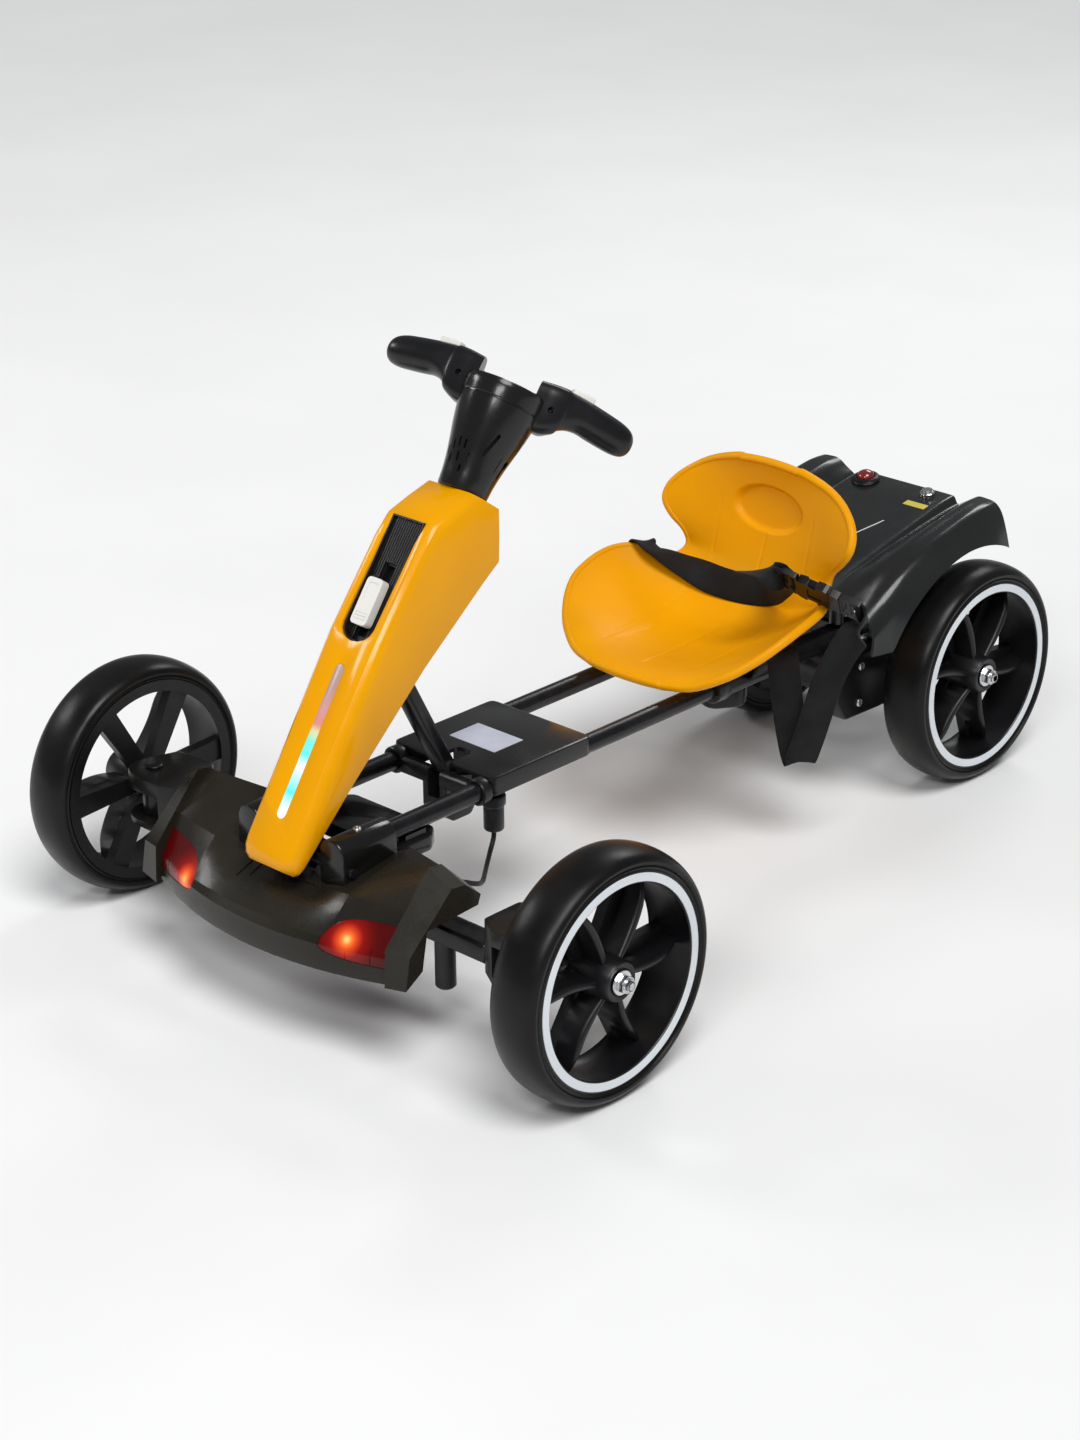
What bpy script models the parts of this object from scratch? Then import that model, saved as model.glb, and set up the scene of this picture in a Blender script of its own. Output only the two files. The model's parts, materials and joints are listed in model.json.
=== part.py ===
"""Ride-on electric go-kart for children: folding column, telescoping frame, four spoked wheels.

The kart is built with its front wheel axis on the X axis: +X is the kart's left, -Y the
front, +Z up, and heights are counted from the wheel axis. The root empty puts it on the floor.
"""

import math

import bmesh
import bpy
from mathutils import Matrix, Vector

# Driving sizes in metres
WHEEL_R = 0.120
TYRE_W = 0.054
TYRE_DEPTH = 0.0164
TYRE_CROWN = 0.0135
RIM_LIP = 0.0096
TYRE_BORE = WHEEL_R - TYRE_DEPTH
HUB_R = 0.0195
AXLE_R = 0.005
WHEELBASE = 0.7746
FRONT_HALF = 0.3155
REAR_HALF = 0.1372
RAIL_HALF = 0.0556
RAIL_R = 0.0095
RAIL_H = 0.056
SLEEVE_R = 0.0130
SLEEVE_FRONT = 0.450
KINGPIN_X = 0.260
KINGPIN_Y = -0.020
KINGPIN_R = 0.006
STEER_ARM = 0.050
STUD_R = 0.004
COLUMN_LEAN = math.radians(35.7)
COLUMN_FOOT = (-0.107, 0.052)
COLUMN_HALF = 0.036
COVER_WALL = 0.0028
PIVOT_T = 0.0142
PIVOT_N = 0.0403
STRUT_FOOT = (0.1375, 0.035)
STRUT_T = 0.2103
STRUT_N = 0.0463
HEAD_N = 0.049
HEAD_BOTTOM = 0.3775
HEAD_TOP = 0.486
HEAD_R = 0.040
BAR_TURN = math.radians(34.3)
GRIP_R = 0.0165
GRIP_TIP = 0.1230
NOSE_HALF = 0.180
NOSE_TOP = 0.070
LIP_Y = -0.1355
SEAT_SCALE = 1.0
SEAT_T = 0.0055
SHELL_T = 0.003
ARCH_GAP = 0.0175
WEB_W = 0.032
WEB_T = 0.0022

# Fits
PLAY = 0.0003
TURN_PLAY = 0.0005
SLOT_PLAY = 0.0038

CENTRE_Y = (WHEELBASE + WHEEL_R + LIP_Y) / 2

for old in list(bpy.data.objects):
    bpy.data.objects.remove(old, do_unlink=True)

root = bpy.data.objects.new("kart", None)
bpy.context.scene.collection.objects.link(root)
root.location = (0, -CENTRE_Y, WHEEL_R)

UP = Vector((0, math.sin(COLUMN_LEAN), math.cos(COLUMN_LEAN)))
BACK = Vector((0, math.cos(COLUMN_LEAN), -math.sin(COLUMN_LEAN)))
SIDE = Vector((1, 0, 0))
FOOT = Vector((0, COLUMN_FOOT[0], COLUMN_FOOT[1]))


def col(x, n, t):
    """Point of the column: x across, n behind its front line, t up along it."""
    return FOOT + SIDE * x + BACK * n + UP * t


def head(x, n, t):
    """Point of the turned head: x along its bar, n behind its turning axis, t up the column."""
    c = math.cos(BAR_TURN)
    s = math.sin(BAR_TURN)
    return col(c * x - s * n, HEAD_N + s * x + c * n, t)


# Materials
SHADES = {
    "yellow_gloss": ((0.80, 0.36, 0.006, 1), 0.18, 0.0),
    "dark_gloss": ((0.020, 0.021, 0.022, 1), 0.22, 0.0),
    "black_paint": ((0.008, 0.008, 0.009, 1), 0.30, 0.2),
    "black_plastic": ((0.012, 0.012, 0.013, 1), 0.45, 0.0),
    "black_matte": ((0.010, 0.010, 0.010, 1), 0.65, 0.0),
    "tyre_rubber": ((0.010, 0.010, 0.010, 1), 0.42, 0.0),
    "white_plastic": ((0.80, 0.80, 0.78, 1), 0.35, 0.0),
    "red_lens": ((0.45, 0.004, 0.002, 1), 0.12, 0.0),
    "light_diffuser": ((0.75, 0.90, 0.92, 1), 0.30, 0.0),
    "zinc_steel": ((0.62, 0.63, 0.65, 1), 0.28, 1.0),
    "chrome": ((0.80, 0.80, 0.82, 1), 0.10, 1.0),
    "black_webbing": ((0.008, 0.008, 0.009, 1), 0.85, 0.0),
    "red_plastic": ((0.30, 0.006, 0.006, 1), 0.25, 0.0),
}


def shade(name):
    found = bpy.data.materials.get(name)
    if found:
        return found
    made = bpy.data.materials.new(name)
    made.use_nodes = True
    colour, rough, metal = SHADES[name]
    made.diffuse_color = colour
    bsdf = made.node_tree.nodes["Principled BSDF"]
    bsdf.inputs["Base Color"].default_value = colour
    bsdf.inputs["Roughness"].default_value = rough
    bsdf.inputs["Metallic"].default_value = metal
    return made


# Helpers
def from_faces(points, faces):
    bm = bmesh.new()
    made = [bm.verts.new(p) for p in points]
    for face in faces:
        bm.faces.new([made[i] for i in face])
    return bm


def turned_out(bm):
    bmesh.ops.recalc_face_normals(bm, faces=bm.faces)
    if bm.calc_volume(signed=True) < 0:
        bmesh.ops.reverse_faces(bm, faces=bm.faces)
    return bm


def node(name, bm, material, origin=(0, 0, 0), sharp=32):
    """One named piece from a mesh in kart coordinates, its origin at the given point."""
    turned_out(bm)
    bmesh.ops.translate(bm, verts=bm.verts, vec=-Vector(origin))
    mesh = bpy.data.meshes.new(name)
    bm.to_mesh(mesh)
    bm.free()
    mesh.shade_smooth()
    mesh.set_sharp_from_angle(angle=math.radians(sharp))
    obj = bpy.data.objects.new(name, mesh)
    bpy.context.scene.collection.objects.link(obj)
    obj.data.materials.append(shade(material))
    obj.parent = root
    obj.location = origin
    return obj


count = [0]


def combine(obj, bm, operation):
    """Adds or cuts a helper shape, given in kart coordinates."""
    count[0] += 1
    helper = node(f"helper_{count[0]}", bm, "black_matte")
    helper.hide_render = True
    helper.display_type = "WIRE"
    mod = obj.modifiers.new(f"shape_{count[0]}", "BOOLEAN")
    mod.operation = operation
    mod.solver = "EXACT"
    mod.object = helper
    return obj


def cut(obj, bm):
    return combine(obj, bm, "DIFFERENCE")


def add(obj, bm):
    return combine(obj, bm, "UNION")


def bevelled(bm, width, segments=2, angle=30):
    bm.normal_update()
    picked = []
    for edge in bm.edges:
        if len(edge.link_faces) == 2 and edge.calc_face_angle(0) > math.radians(angle):
            picked.append(edge)
    bmesh.ops.bevel(
        bm,
        geom=picked,
        offset=width,
        segments=segments,
        profile=0.5,
        affect="EDGES",
        clamp_overlap=True,
    )
    return bm


def box(x0, x1, y0, y1, z0, z1, frame=None):
    """Box between limits; with a frame, the limits are its own three coordinates."""
    place = frame or (lambda x, y, z: Vector((x, y, z)))
    points = [place(x, y, z) for x in (x0, x1) for y in (y0, y1) for z in (z0, z1)]
    faces = ((0, 1, 3, 2), (4, 6, 7, 5), (0, 4, 5, 1), (2, 3, 7, 6), (0, 2, 6, 4), (1, 5, 7, 3))
    return turned_out(from_faces(points, faces))


def rounded(outline, radius, steps=3):
    """The outline with its corners rounded; radius is one value or one for each corner."""
    result = []
    total = len(outline)
    for i, corner in enumerate(outline):
        r = radius[i] if isinstance(radius, (list, tuple)) else radius
        here = Vector(corner)
        if r <= 0:
            result.append(here)
            continue
        before = Vector(outline[i - 1]) - here
        after = Vector(outline[(i + 1) % total]) - here
        half = before.angle(after) / 2
        reach = min(r / math.tan(half), before.length * 0.48, after.length * 0.48)
        a = here + before.normalized() * reach
        b = here + after.normalized() * reach
        for k in range(steps + 1):
            f = k / steps
            result.append(a * (1 - f) ** 2 + here * 2 * f * (1 - f) + b * f * f)
    return result


def prism(outline, low, high, place):
    """Outline (u, v) drawn out along w from low to high; place maps (u, v, w) to the kart."""
    n = len(outline)
    points = [place(p[0], p[1], low) for p in outline]
    points += [place(p[0], p[1], high) for p in outline]
    faces = [tuple(range(n)), tuple(range(2 * n - 1, n - 1, -1))]
    faces += [(i, (i + 1) % n, n + (i + 1) % n, n + i) for i in range(n)]
    return turned_out(from_faces(points, faces))


def loft(rings, closed=False):
    """Skin through rings with the same number of points; closed joins the last to the first."""
    n = len(rings[0])
    points = [p for ring in rings for p in ring]
    faces = []
    spans = len(rings) if closed else len(rings) - 1
    for k in range(spans):
        a = k * n
        b = ((k + 1) % len(rings)) * n
        faces += [(a + i, a + (i + 1) % n, b + (i + 1) % n, b + i) for i in range(n)]
    if not closed:
        last = (len(rings) - 1) * n
        faces.append(tuple(range(n)))
        faces.append(tuple(last + i for i in range(n)))
    return turned_out(from_faces(points, faces))


def lathe(profile, place, segments=24, radius=None):
    """Closed profile (r, h) turned round; place maps (a, b, h). radius changes r by angle."""
    ring = []
    for k in range(segments):
        angle = 2 * math.pi * k / segments
        made = []
        for j, (r, h) in enumerate(profile):
            use = radius(j, angle, r) if radius else r
            made.append(place(use * math.cos(angle), use * math.sin(angle), h))
        ring.append(made)
    return loft(ring, closed=True)


def rod(radius, low, high, place, segments=16, tip=0.0):
    """Cylinder along h from low to high, with both ends chamfered by tip."""
    rings = []
    heights = [(radius - tip, low), (radius, low + tip), (radius, high - tip), (radius - tip, high)]
    if tip == 0:
        heights = [(radius, low), (radius, high)]
    for r, h in heights:
        ring = []
        for k in range(segments):
            angle = 2 * math.pi * (k + 0.5) / segments
            ring.append(place(r * math.cos(angle), r * math.sin(angle), h))
        rings.append(ring)
    return loft(rings)


def at(x, y, z, axis):
    """Placement with its height along the named axis through a point."""
    centre = Vector((x, y, z))
    if axis == "x":
        return lambda a, b, h: centre + Vector((h, a, b))
    if axis == "y":
        return lambda a, b, h: centre + Vector((b, h, a))
    return lambda a, b, h: centre + Vector((a, b, h))


def smooth_path(points, per=5):
    """Points on a smooth curve through the given ones."""
    pts = [Vector(p) for p in points]
    result = []
    for i in range(len(pts) - 1):
        p0 = pts[max(i - 1, 0)]
        p1 = pts[i]
        p2 = pts[i + 1]
        p3 = pts[min(i + 2, len(pts) - 1)]
        for k in range(per):
            f = k / per
            a = 2 * p1
            b = (p2 - p0) * f
            c = (2 * p0 - 5 * p1 + 4 * p2 - p3) * f * f
            d = (3 * p1 - p0 - 3 * p2 + p3) * f * f * f
            result.append((a + b + c + d) / 2)
    result.append(pts[-1])
    return result


def tube(path, radius, segments=10):
    """Round tube along a path of points."""
    rings = []
    up = Vector((0, 0, 1))
    first = (path[1] - path[0]).normalized()
    if abs(first.dot(up)) > 0.9:
        up = Vector((1, 0, 0))
    for i, p in enumerate(path):
        ahead = path[min(i + 1, len(path) - 1)] - path[max(i - 1, 0)]
        ahead.normalize()
        side = ahead.cross(up).normalized()
        up = side.cross(ahead).normalized()
        ring = []
        for k in range(segments):
            angle = 2 * math.pi * k / segments
            ring.append(p + radius * (math.cos(angle) * side + math.sin(angle) * up))
        rings.append(ring)
    return loft(rings)


def ribbon(path, across, width, thick):
    """Flat webbing along a path; across gives the width direction at each point."""
    rings = []
    for i, p in enumerate(path):
        ahead = (path[min(i + 1, len(path) - 1)] - path[max(i - 1, 0)]).normalized()
        wide = across[i] - ahead * across[i].dot(ahead)
        wide.normalize()
        flat = ahead.cross(wide).normalized()
        a = wide * width / 2
        b = flat * thick / 2
        rings.append([p - a - b, p + a - b, p + a + b, p - a + b])
    return loft(rings)


def plain(x, y, z):
    return Vector((x, y, z))


def yz(y, z, x):
    return Vector((x, y, z))


def xz(x, z, y):
    return Vector((x, y, z))


def nt(n, t, x):
    return col(x, n, t)


def baked(obj):
    """The piece's mesh with its modifiers worked in."""
    bpy.context.view_layer.update()
    graph = bpy.context.evaluated_depsgraph_get()
    return bpy.data.meshes.new_from_object(obj.evaluated_get(graph))


# Wheels
WHEEL_SIDES = 28


def tyre_mesh():
    profile = [(TYRE_BORE, TYRE_W / 2 - 0.0015)]
    shoulder = WHEEL_R - TYRE_CROWN
    for k in range(7):
        t = math.pi * k / 6
        profile.append((shoulder + TYRE_CROWN * math.sin(t), TYRE_W / 2 * math.cos(t)))
    profile.append((TYRE_BORE, 0.0015 - TYRE_W / 2))
    return lathe(profile, lambda a, b, h: Vector((h, a, b)), WHEEL_SIDES)


RIM_R = TYRE_BORE - PLAY
RIM_X = TYRE_W / 2 - 0.0015
HUB_OUT = 0.0245
HUB_IN = -0.026


def rim_object(phase):
    profile = [
        (RIM_R, RIM_X),
        (RIM_R, -RIM_X),
        (TYRE_BORE - RIM_LIP - 0.0040, -RIM_X),
        (TYRE_BORE - RIM_LIP, -0.0190),
        (TYRE_BORE - RIM_LIP, 0.0100),
        (TYRE_BORE - RIM_LIP - 0.0023, RIM_X),
    ]
    rim = node("rim_shape", lathe(profile, lambda a, b, h: Vector((h, a, b)), WHEEL_SIDES),
               "black_plastic", sharp=40)
    hub = [(AXLE_R + PLAY, HUB_OUT), (HUB_R, HUB_OUT), (HUB_R, HUB_IN), (AXLE_R + PLAY, HUB_IN)]
    stops = ((0.012, 0.0), (0.055, 0.5), (TYRE_BORE - 0.0051, 1.0))
    for k in range(6):
        turn = Matrix.Rotation(math.pi * k / 3 + phase, 3, "X")
        rings = []
        for r, s in stops:
            web = 0.0090 + 0.0035 * s
            rib = 0.0022 + 0.0018 * math.sin(math.pi * s)
            bow = 0.0060 * math.sin(math.pi * s)
            top = 0.0140 - 0.0060 * s
            section = [
                (-web, -0.0225),
                (web, -0.0225),
                (web, -0.0095),
                (bow + rib, -0.0095),
                (bow + rib, top),
                (bow - rib, top),
                (bow - rib, -0.0095),
                (-web, -0.0095),
            ]
            rings.append([turn @ Vector((x, c, r)) for c, x in section])
        add(rim, loft(rings))
    add(rim, lathe(hub, lambda a, b, h: Vector((h, a, b)), 18))
    return rim


def hex_radius(j, angle, r):
    if j in (2, 3):
        sector = (angle + math.pi / 6) % (math.pi / 3) - math.pi / 6
        return r / math.cos(sector)
    return r


def nut_mesh(sign):
    base = HUB_OUT + PLAY
    profile = [
        (AXLE_R + PLAY, base),
        (0.0118, base),
        (0.0075, base + 0.0016),
        (0.0075, base + 0.0085),
        (AXLE_R + PLAY, base + 0.0100),
    ]
    ring = []
    for k in range(12):
        angle = 2 * math.pi * k / 12
        made = []
        for j, (r, h) in enumerate(profile):
            use = hex_radius(j, angle, r)
            made.append(Vector((sign * h, use * math.cos(angle), use * math.sin(angle))))
            if j == 1:
                low = base + 0.0016
                made.append(Vector((sign * low, r * math.cos(angle), r * math.sin(angle))))
        ring.append(made)
    return loft(ring, closed=True)


rim_meshes = {}
for phase in (0.50, 0.36):
    rim_made = rim_object(phase)
    rim_meshes[phase] = baked(rim_made)
    rim_made.modifiers.clear()
    for helper in [o for o in bpy.data.objects if o.name.startswith("helper_")]:
        bpy.data.objects.remove(helper, do_unlink=True)
    bpy.data.objects.remove(rim_made, do_unlink=True)

WHEELS = (
    ("front_left", FRONT_HALF, 0.0, 1),
    ("front_right", -FRONT_HALF, 0.0, -1),
    ("rear_left", REAR_HALF, WHEELBASE, 1),
    ("rear_right", -REAR_HALF, WHEELBASE, -1),
)
for place_name, wheel_x, wheel_y, sign in WHEELS:
    here = Vector((wheel_x, wheel_y, 0))
    bm = tyre_mesh()
    bmesh.ops.translate(bm, verts=bm.verts, vec=here)
    node(f"tyre_{place_name}", bm, "tyre_rubber", here, sharp=60)
    bm = bmesh.new()
    bm.from_mesh(rim_meshes[0.36 if wheel_y else 0.50])
    if sign < 0:
        bmesh.ops.rotate(bm, verts=bm.verts, matrix=Matrix.Rotation(math.pi, 3, "Z"))
    bmesh.ops.translate(bm, verts=bm.verts, vec=here)
    node(f"rim_{place_name}", bm, "black_plastic", here, sharp=40)
    bm = nut_mesh(sign)
    bmesh.ops.translate(bm, verts=bm.verts, vec=here)
    node(f"hub_nut_{place_name}", bm, "zinc_steel", here)

# Front axle, forks, kingpins, knuckles and tie rod
FORK_IN = 0.206
axle = node("front_axle_tube", bevelled(
    box(PLAY - FORK_IN, FORK_IN - PLAY, KINGPIN_Y - 0.013, KINGPIN_Y + 0.013, -0.019, 0.001),
    0.0025, 1), "black_paint")
for sx in (-1, 1):
    add(axle, rod(0.010, -0.068, -0.010, at(sx * 0.142, KINGPIN_Y, 0, "z"), 16, 0.0025))

TIE_Y = KINGPIN_Y + STEER_ARM
TIE_TOP = -0.0272
TIE_LOW = -0.0345
FORK_TOP = 0.030
FORK_LOW = -0.026
EYE_TOP = 0.0125
EYE_LOW = -0.0175
for side_name, sx in (("left", 1), ("right", -1)):
    outline = [(FORK_IN, KINGPIN_Y - 0.014), (0.226, KINGPIN_Y - 0.026)]
    for k in range(7):
        a = -math.pi / 2 + math.pi * k / 12
        outline.append((KINGPIN_X + 0.026 * math.cos(a), KINGPIN_Y + 0.026 * math.sin(a)))
    outline += [(0.273, KINGPIN_Y + 0.042), (0.226, KINGPIN_Y + 0.046), (FORK_IN, KINGPIN_Y + 0.030)]
    outline = [(sx * u, v) for u, v in outline]
    fork = node(f"fork_{side_name}", bevelled(
        prism(outline, FORK_LOW, FORK_TOP, plain), 0.0025, 2, 40), "dark_gloss", sharp=40)
    near = sorted((sx * 0.2270, sx * 0.300))
    cut(fork, box(near[0], near[1], KINGPIN_Y - 0.06, KINGPIN_Y + 0.06,
                  EYE_LOW - TURN_PLAY, EYE_TOP + TURN_PLAY))
    cut(fork, box(near[0], near[1], KINGPIN_Y + 0.0400, KINGPIN_Y + 0.06, FORK_LOW - 0.01, EYE_LOW))
    cut(fork, rod(KINGPIN_R + PLAY, -0.05, 0.05, at(sx * KINGPIN_X, KINGPIN_Y, 0, "z"), 16))
    pin = [
        (0.0, FORK_LOW - 0.003),
        (KINGPIN_R - 0.001, FORK_LOW - 0.003),
        (KINGPIN_R, FORK_LOW - 0.002),
        (KINGPIN_R, FORK_TOP + PLAY),
        (0.0088, FORK_TOP + PLAY),
        (0.0088, FORK_TOP + 0.0022),
        (0.0070, FORK_TOP + 0.0032),
        (0.0, FORK_TOP + 0.0032),
    ]
    rings = []
    for r, h in pin[1:-1]:
        place = at(sx * KINGPIN_X, KINGPIN_Y, 0, "z")
        rings.append([place(r * math.cos(2 * math.pi * (k + 0.5) / 16),
                            r * math.sin(2 * math.pi * (k + 0.5) / 16), h) for k in range(16)])
    node(f"kingpin_{side_name}", loft(rings), "zinc_steel")

    pivot = (sx * KINGPIN_X, KINGPIN_Y, 0)
    eye = [(KINGPIN_R + TURN_PLAY, EYE_LOW), (0.0135, EYE_LOW),
           (0.0135, EYE_TOP), (KINGPIN_R + TURN_PLAY, EYE_TOP)]
    knuckle = node(f"knuckle_{side_name}", lathe(eye, at(*pivot, "z"), 16), "black_paint", pivot)
    shoulder = sorted((sx * (KINGPIN_X + 0.009), sx * (FRONT_HALF + HUB_IN - TURN_PLAY)))
    add(knuckle, rod(0.0112, shoulder[0], shoulder[1], at(0, 0, 0, "x"), 16, 0.001))
    stub = sorted((sx * (KINGPIN_X + 0.012), sx * (FRONT_HALF + HUB_OUT + 0.0125)))
    add(knuckle, rod(AXLE_R, stub[0], stub[1], at(0, 0, 0, "x"), 16, 0.0008))
    arm = rounded([(sx * (KINGPIN_X - 0.010), KINGPIN_Y + 0.007),
                   (sx * (KINGPIN_X + 0.010), KINGPIN_Y + 0.007),
                   (sx * (KINGPIN_X + 0.009), KINGPIN_Y + STEER_ARM + 0.009),
                   (sx * (KINGPIN_X - 0.009), KINGPIN_Y + STEER_ARM + 0.009)], 0.006, 3)
    add(knuckle, prism(arm, EYE_LOW + 0.0005, EYE_LOW + 0.0080, plain))
    stud = at(sx * KINGPIN_X, KINGPIN_Y + STEER_ARM, 0, "z")
    add(knuckle, rod(STUD_R, TIE_LOW - 0.0015, EYE_LOW + 0.0040, stud, 12))

tie = node("tie_rod", rod(0.0038, -0.2525, 0.2525, at(0, TIE_Y, (TIE_TOP + TIE_LOW) / 2, "x"), 12),
           "black_paint", (0, TIE_Y, (TIE_TOP + TIE_LOW) / 2))
for sx in (-1, 1):
    half_slot = SLOT_PLAY + 0.0002
    eye = []
    slot = []
    for k in range(16):
        a = 2 * math.pi * (k + 0.5) / 16
        lift = half_slot if math.sin(a) > 0 else -half_slot
        eye.append((sx * KINGPIN_X + 0.0105 * math.cos(a), TIE_Y + lift + 0.0105 * math.sin(a)))
        hole = STUD_R + PLAY
        slot.append((sx * KINGPIN_X + hole * math.cos(a), TIE_Y + lift + hole * math.sin(a)))
    add(tie, prism(eye, TIE_LOW, TIE_TOP, plain))
    cut(tie, prism(slot, TIE_LOW - 0.01, TIE_TOP + 0.01, plain))

# Rails, sockets and column pivot pin
SOCKET_FRONT = -0.077
SOCKET_REAR = -0.009
PIVOT = col(0, PIVOT_N, PIVOT_T)
for side_name, sx in (("left", 1), ("right", -1)):
    node(f"rail_{side_name}", rod(RAIL_R, -0.046, 0.574, at(sx * RAIL_HALF, 0, RAIL_H, "y"), 16),
         "black_paint", (sx * RAIL_HALF, 0, RAIL_H))
    outline = [(sx * RAIL_HALF - 0.016, 0.0255), (sx * RAIL_HALF + 0.016, 0.0255)]
    for k in range(9):
        a = math.pi * k / 8
        outline.append((sx * RAIL_HALF + 0.016 * math.cos(a), RAIL_H + 0.016 * math.sin(a)))
    socket = node(f"rail_socket_{side_name}", bevelled(
        prism(outline, SOCKET_FRONT, SOCKET_REAR, xz), 0.002, 2, 50), "dark_gloss", sharp=40)
    cut(socket, rod(RAIL_R + PLAY, -0.048, 0.01, at(sx * RAIL_HALF, 0, RAIL_H, "y"), 16))
    cut(socket, rod(0.005 + PLAY, -0.09, 0.09, at(0, PIVOT.y, PIVOT.z, "x"), 12))
node("column_pivot_pin", rod(0.005, -0.075, 0.075, at(0, PIVOT.y, PIVOT.z, "x"), 12, 0.0007),
     "zinc_steel", PIVOT)

# Middle plate and brace bracket
PLATE_FRONT = 0.120
PLATE_REAR = 0.258
plate_half = RAIL_HALF + 0.0120
plate = node("mid_plate", bevelled(
    prism(rounded([(-plate_half, PLATE_FRONT), (plate_half, PLATE_FRONT),
                   (plate_half, PLATE_REAR), (-plate_half, PLATE_REAR)], 0.008, 3),
          RAIL_H - 0.006, RAIL_H + 0.014, plain), 0.0022, 2, 50), "dark_gloss", sharp=35)
for sx in (-1, 1):
    cut(plate, rod(RAIL_R + PLAY, 0.10, 0.28, at(sx * RAIL_HALF, 0, RAIL_H, "y"), 16))
cut(plate, box(-0.040, 0.040, 0.10, 0.252, 0.03, RAIL_H + 0.010))
cut(plate, prism(rounded([(-0.0105, 0.10), (0.0105, 0.10), (0.0105, 0.1530), (-0.0105, 0.1530)],
                         [0, 0, 0.006, 0.006], 3), 0.03, 0.09, plain))

ARM_Y0 = 0.1080
ARM_Y1 = PLATE_FRONT - PLAY
bracket = node("brace_bracket", bevelled(
    box(-RAIL_HALF, RAIL_HALF, ARM_Y0, ARM_Y1, RAIL_H - 0.010, RAIL_H + 0.006), 0.002, 1),
    "black_paint")
for sx in (-1, 1):
    add(bracket, rod(0.0135, ARM_Y0, ARM_Y1, at(sx * RAIL_HALF, 0, RAIL_H, "y"), 16, 0.0012))
add(bracket, bevelled(prism(rounded([(0.1085, 0.060), (0.1190, 0.060), (0.152, 0.050), (0.152, 0.024),
                                     (0.143, 0.010), (0.118, 0.010), (0.1085, 0.022)], 0.006, 2),
                            -0.0165, 0.0165, yz), 0.0015, 1, 50))
cut(bracket, prism([(0.095, 0.090), (0.095, 0.0480), (0.1200, 0.0225), (0.1550, 0.0225),
                    (0.1700, 0.0900)], -0.0078, 0.0078, yz))
for sx in (-1, 1):
    cut(bracket, rod(RAIL_R + PLAY, 0.09, 0.14, at(sx * RAIL_HALF, 0, RAIL_H, "y"), 16))
STRUT_A = Vector((0, STRUT_FOOT[0], STRUT_FOOT[1]))
add(bracket, rod(0.0040, -0.0125, 0.0125, at(0, STRUT_A.y, STRUT_A.z, "x"), 12))

# Brace strut with its sliding pin
STRUT_B = col(0, STRUT_N, STRUT_T)
along = (STRUT_B - STRUT_A).normalized()
aside = Vector((0, along.z, -along.y))
length = (STRUT_B - STRUT_A).length


def strut_place(u, v, w):
    return STRUT_A + along * u + aside * v + SIDE * w


outline = []
for k in range(9):
    a = math.pi / 2 + math.pi * k / 8
    outline.append((0.0088 * math.cos(a), 0.0088 * math.sin(a)))
for k in range(9):
    a = -math.pi / 2 + math.pi * k / 8
    outline.append((length + 0.0088 * math.cos(a), 0.0088 * math.sin(a)))
strut = node("brace_strut", bevelled(prism(outline, -0.0072, 0.0072, strut_place), 0.0015, 1, 50),
             "black_paint", STRUT_A, sharp=40)
cut(strut, rod(0.0040 + TURN_PLAY, -0.02, 0.02, at(0, STRUT_A.y, STRUT_A.z, "x"), 12))
cut(strut, rod(0.0045 + PLAY, -0.02, 0.02, at(0, STRUT_B.y, STRUT_B.z, "x"), 12))
node("brace_pin", rod(0.0045, -0.0185, 0.0185, at(0, STRUT_B.y, STRUT_B.z, "x"), 12, 0.0006),
     "zinc_steel", STRUT_B)

# Footrest and cable
tray = node("footrest", bevelled(
    prism(rounded([(-0.060, -0.006), (0.060, -0.006), (0.066, 0.010), (0.066, 0.040), (0.054, 0.056),
                   (-0.054, 0.056), (-0.066, 0.040), (-0.066, 0.010)], 0.010, 2),
          0.0235, 0.0400, plain), 0.003, 2, 50), "dark_gloss", sharp=40)
for sx in (-1, 1):
    add(tray, box(sx * RAIL_HALF - 0.005, sx * RAIL_HALF + 0.005, 0.012, 0.038,
                  0.0330, RAIL_H - RAIL_R - PLAY))

PLUG = Vector((RAIL_HALF, 0.1330, 0))
plug_profile = [(0.0088, 0.010), (0.0100, 0.012), (0.0100, 0.035), (0.0118, 0.037), (0.0118, 0.0455)]
rings = []
for r, h in plug_profile + [(0.0118, RAIL_H - RAIL_R - PLAY)]:
    rings.append([PLUG + Vector((r * math.cos(math.pi * (k + 0.5) / 10),
                                 r * math.sin(math.pi * (k + 0.5) / 10), h)) for k in range(20)])
node("cable_connector", loft(rings), "black_plastic")
WING_IN = NOSE_HALF - 0.0225
lead = smooth_path([
    (PLUG.x, PLUG.y, 0.010 - PLAY),
    (PLUG.x, PLUG.y - 0.001, 0.000),
    (PLUG.x + 0.006, PLUG.y - 0.012, -0.008),
    (0.085, 0.092, -0.006),
    (0.120, 0.052, 0.006),
    (0.146, 0.018, 0.024),
    (WING_IN - 0.0036, -0.008, 0.038),
    (WING_IN - 0.0036, -0.026, 0.043),
], 3)
node("connector_cable", tube(lead, 0.0025, 8), "black_matte")

# Column cover
def cover_front(t):
    stops = ((-0.010, 0.0050), (-0.004, 0.0012), (0.006, 0.0), (0.2126, -0.0080), (0.310, -0.0040),
             (0.336, 0.0), (0.377, 0.030))
    return blend(stops, t)


def cover_back(t):
    stops = ((-0.010, 0.0130), (0.0035, 0.0180), (0.045, 0.0280), (0.0944, 0.0370),
             (0.2126, 0.0620), (0.310, 0.0900), (0.334, 0.0980), (0.377, 0.0720))
    return blend(stops, t)


def blend(stops, t):
    if t <= stops[0][0]:
        return stops[0][1]
    for (a, u), (b, v) in zip(stops, stops[1:]):
        if t <= b:
            return u + (v - u) * (t - a) / (b - a)
    return stops[-1][1]


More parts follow.
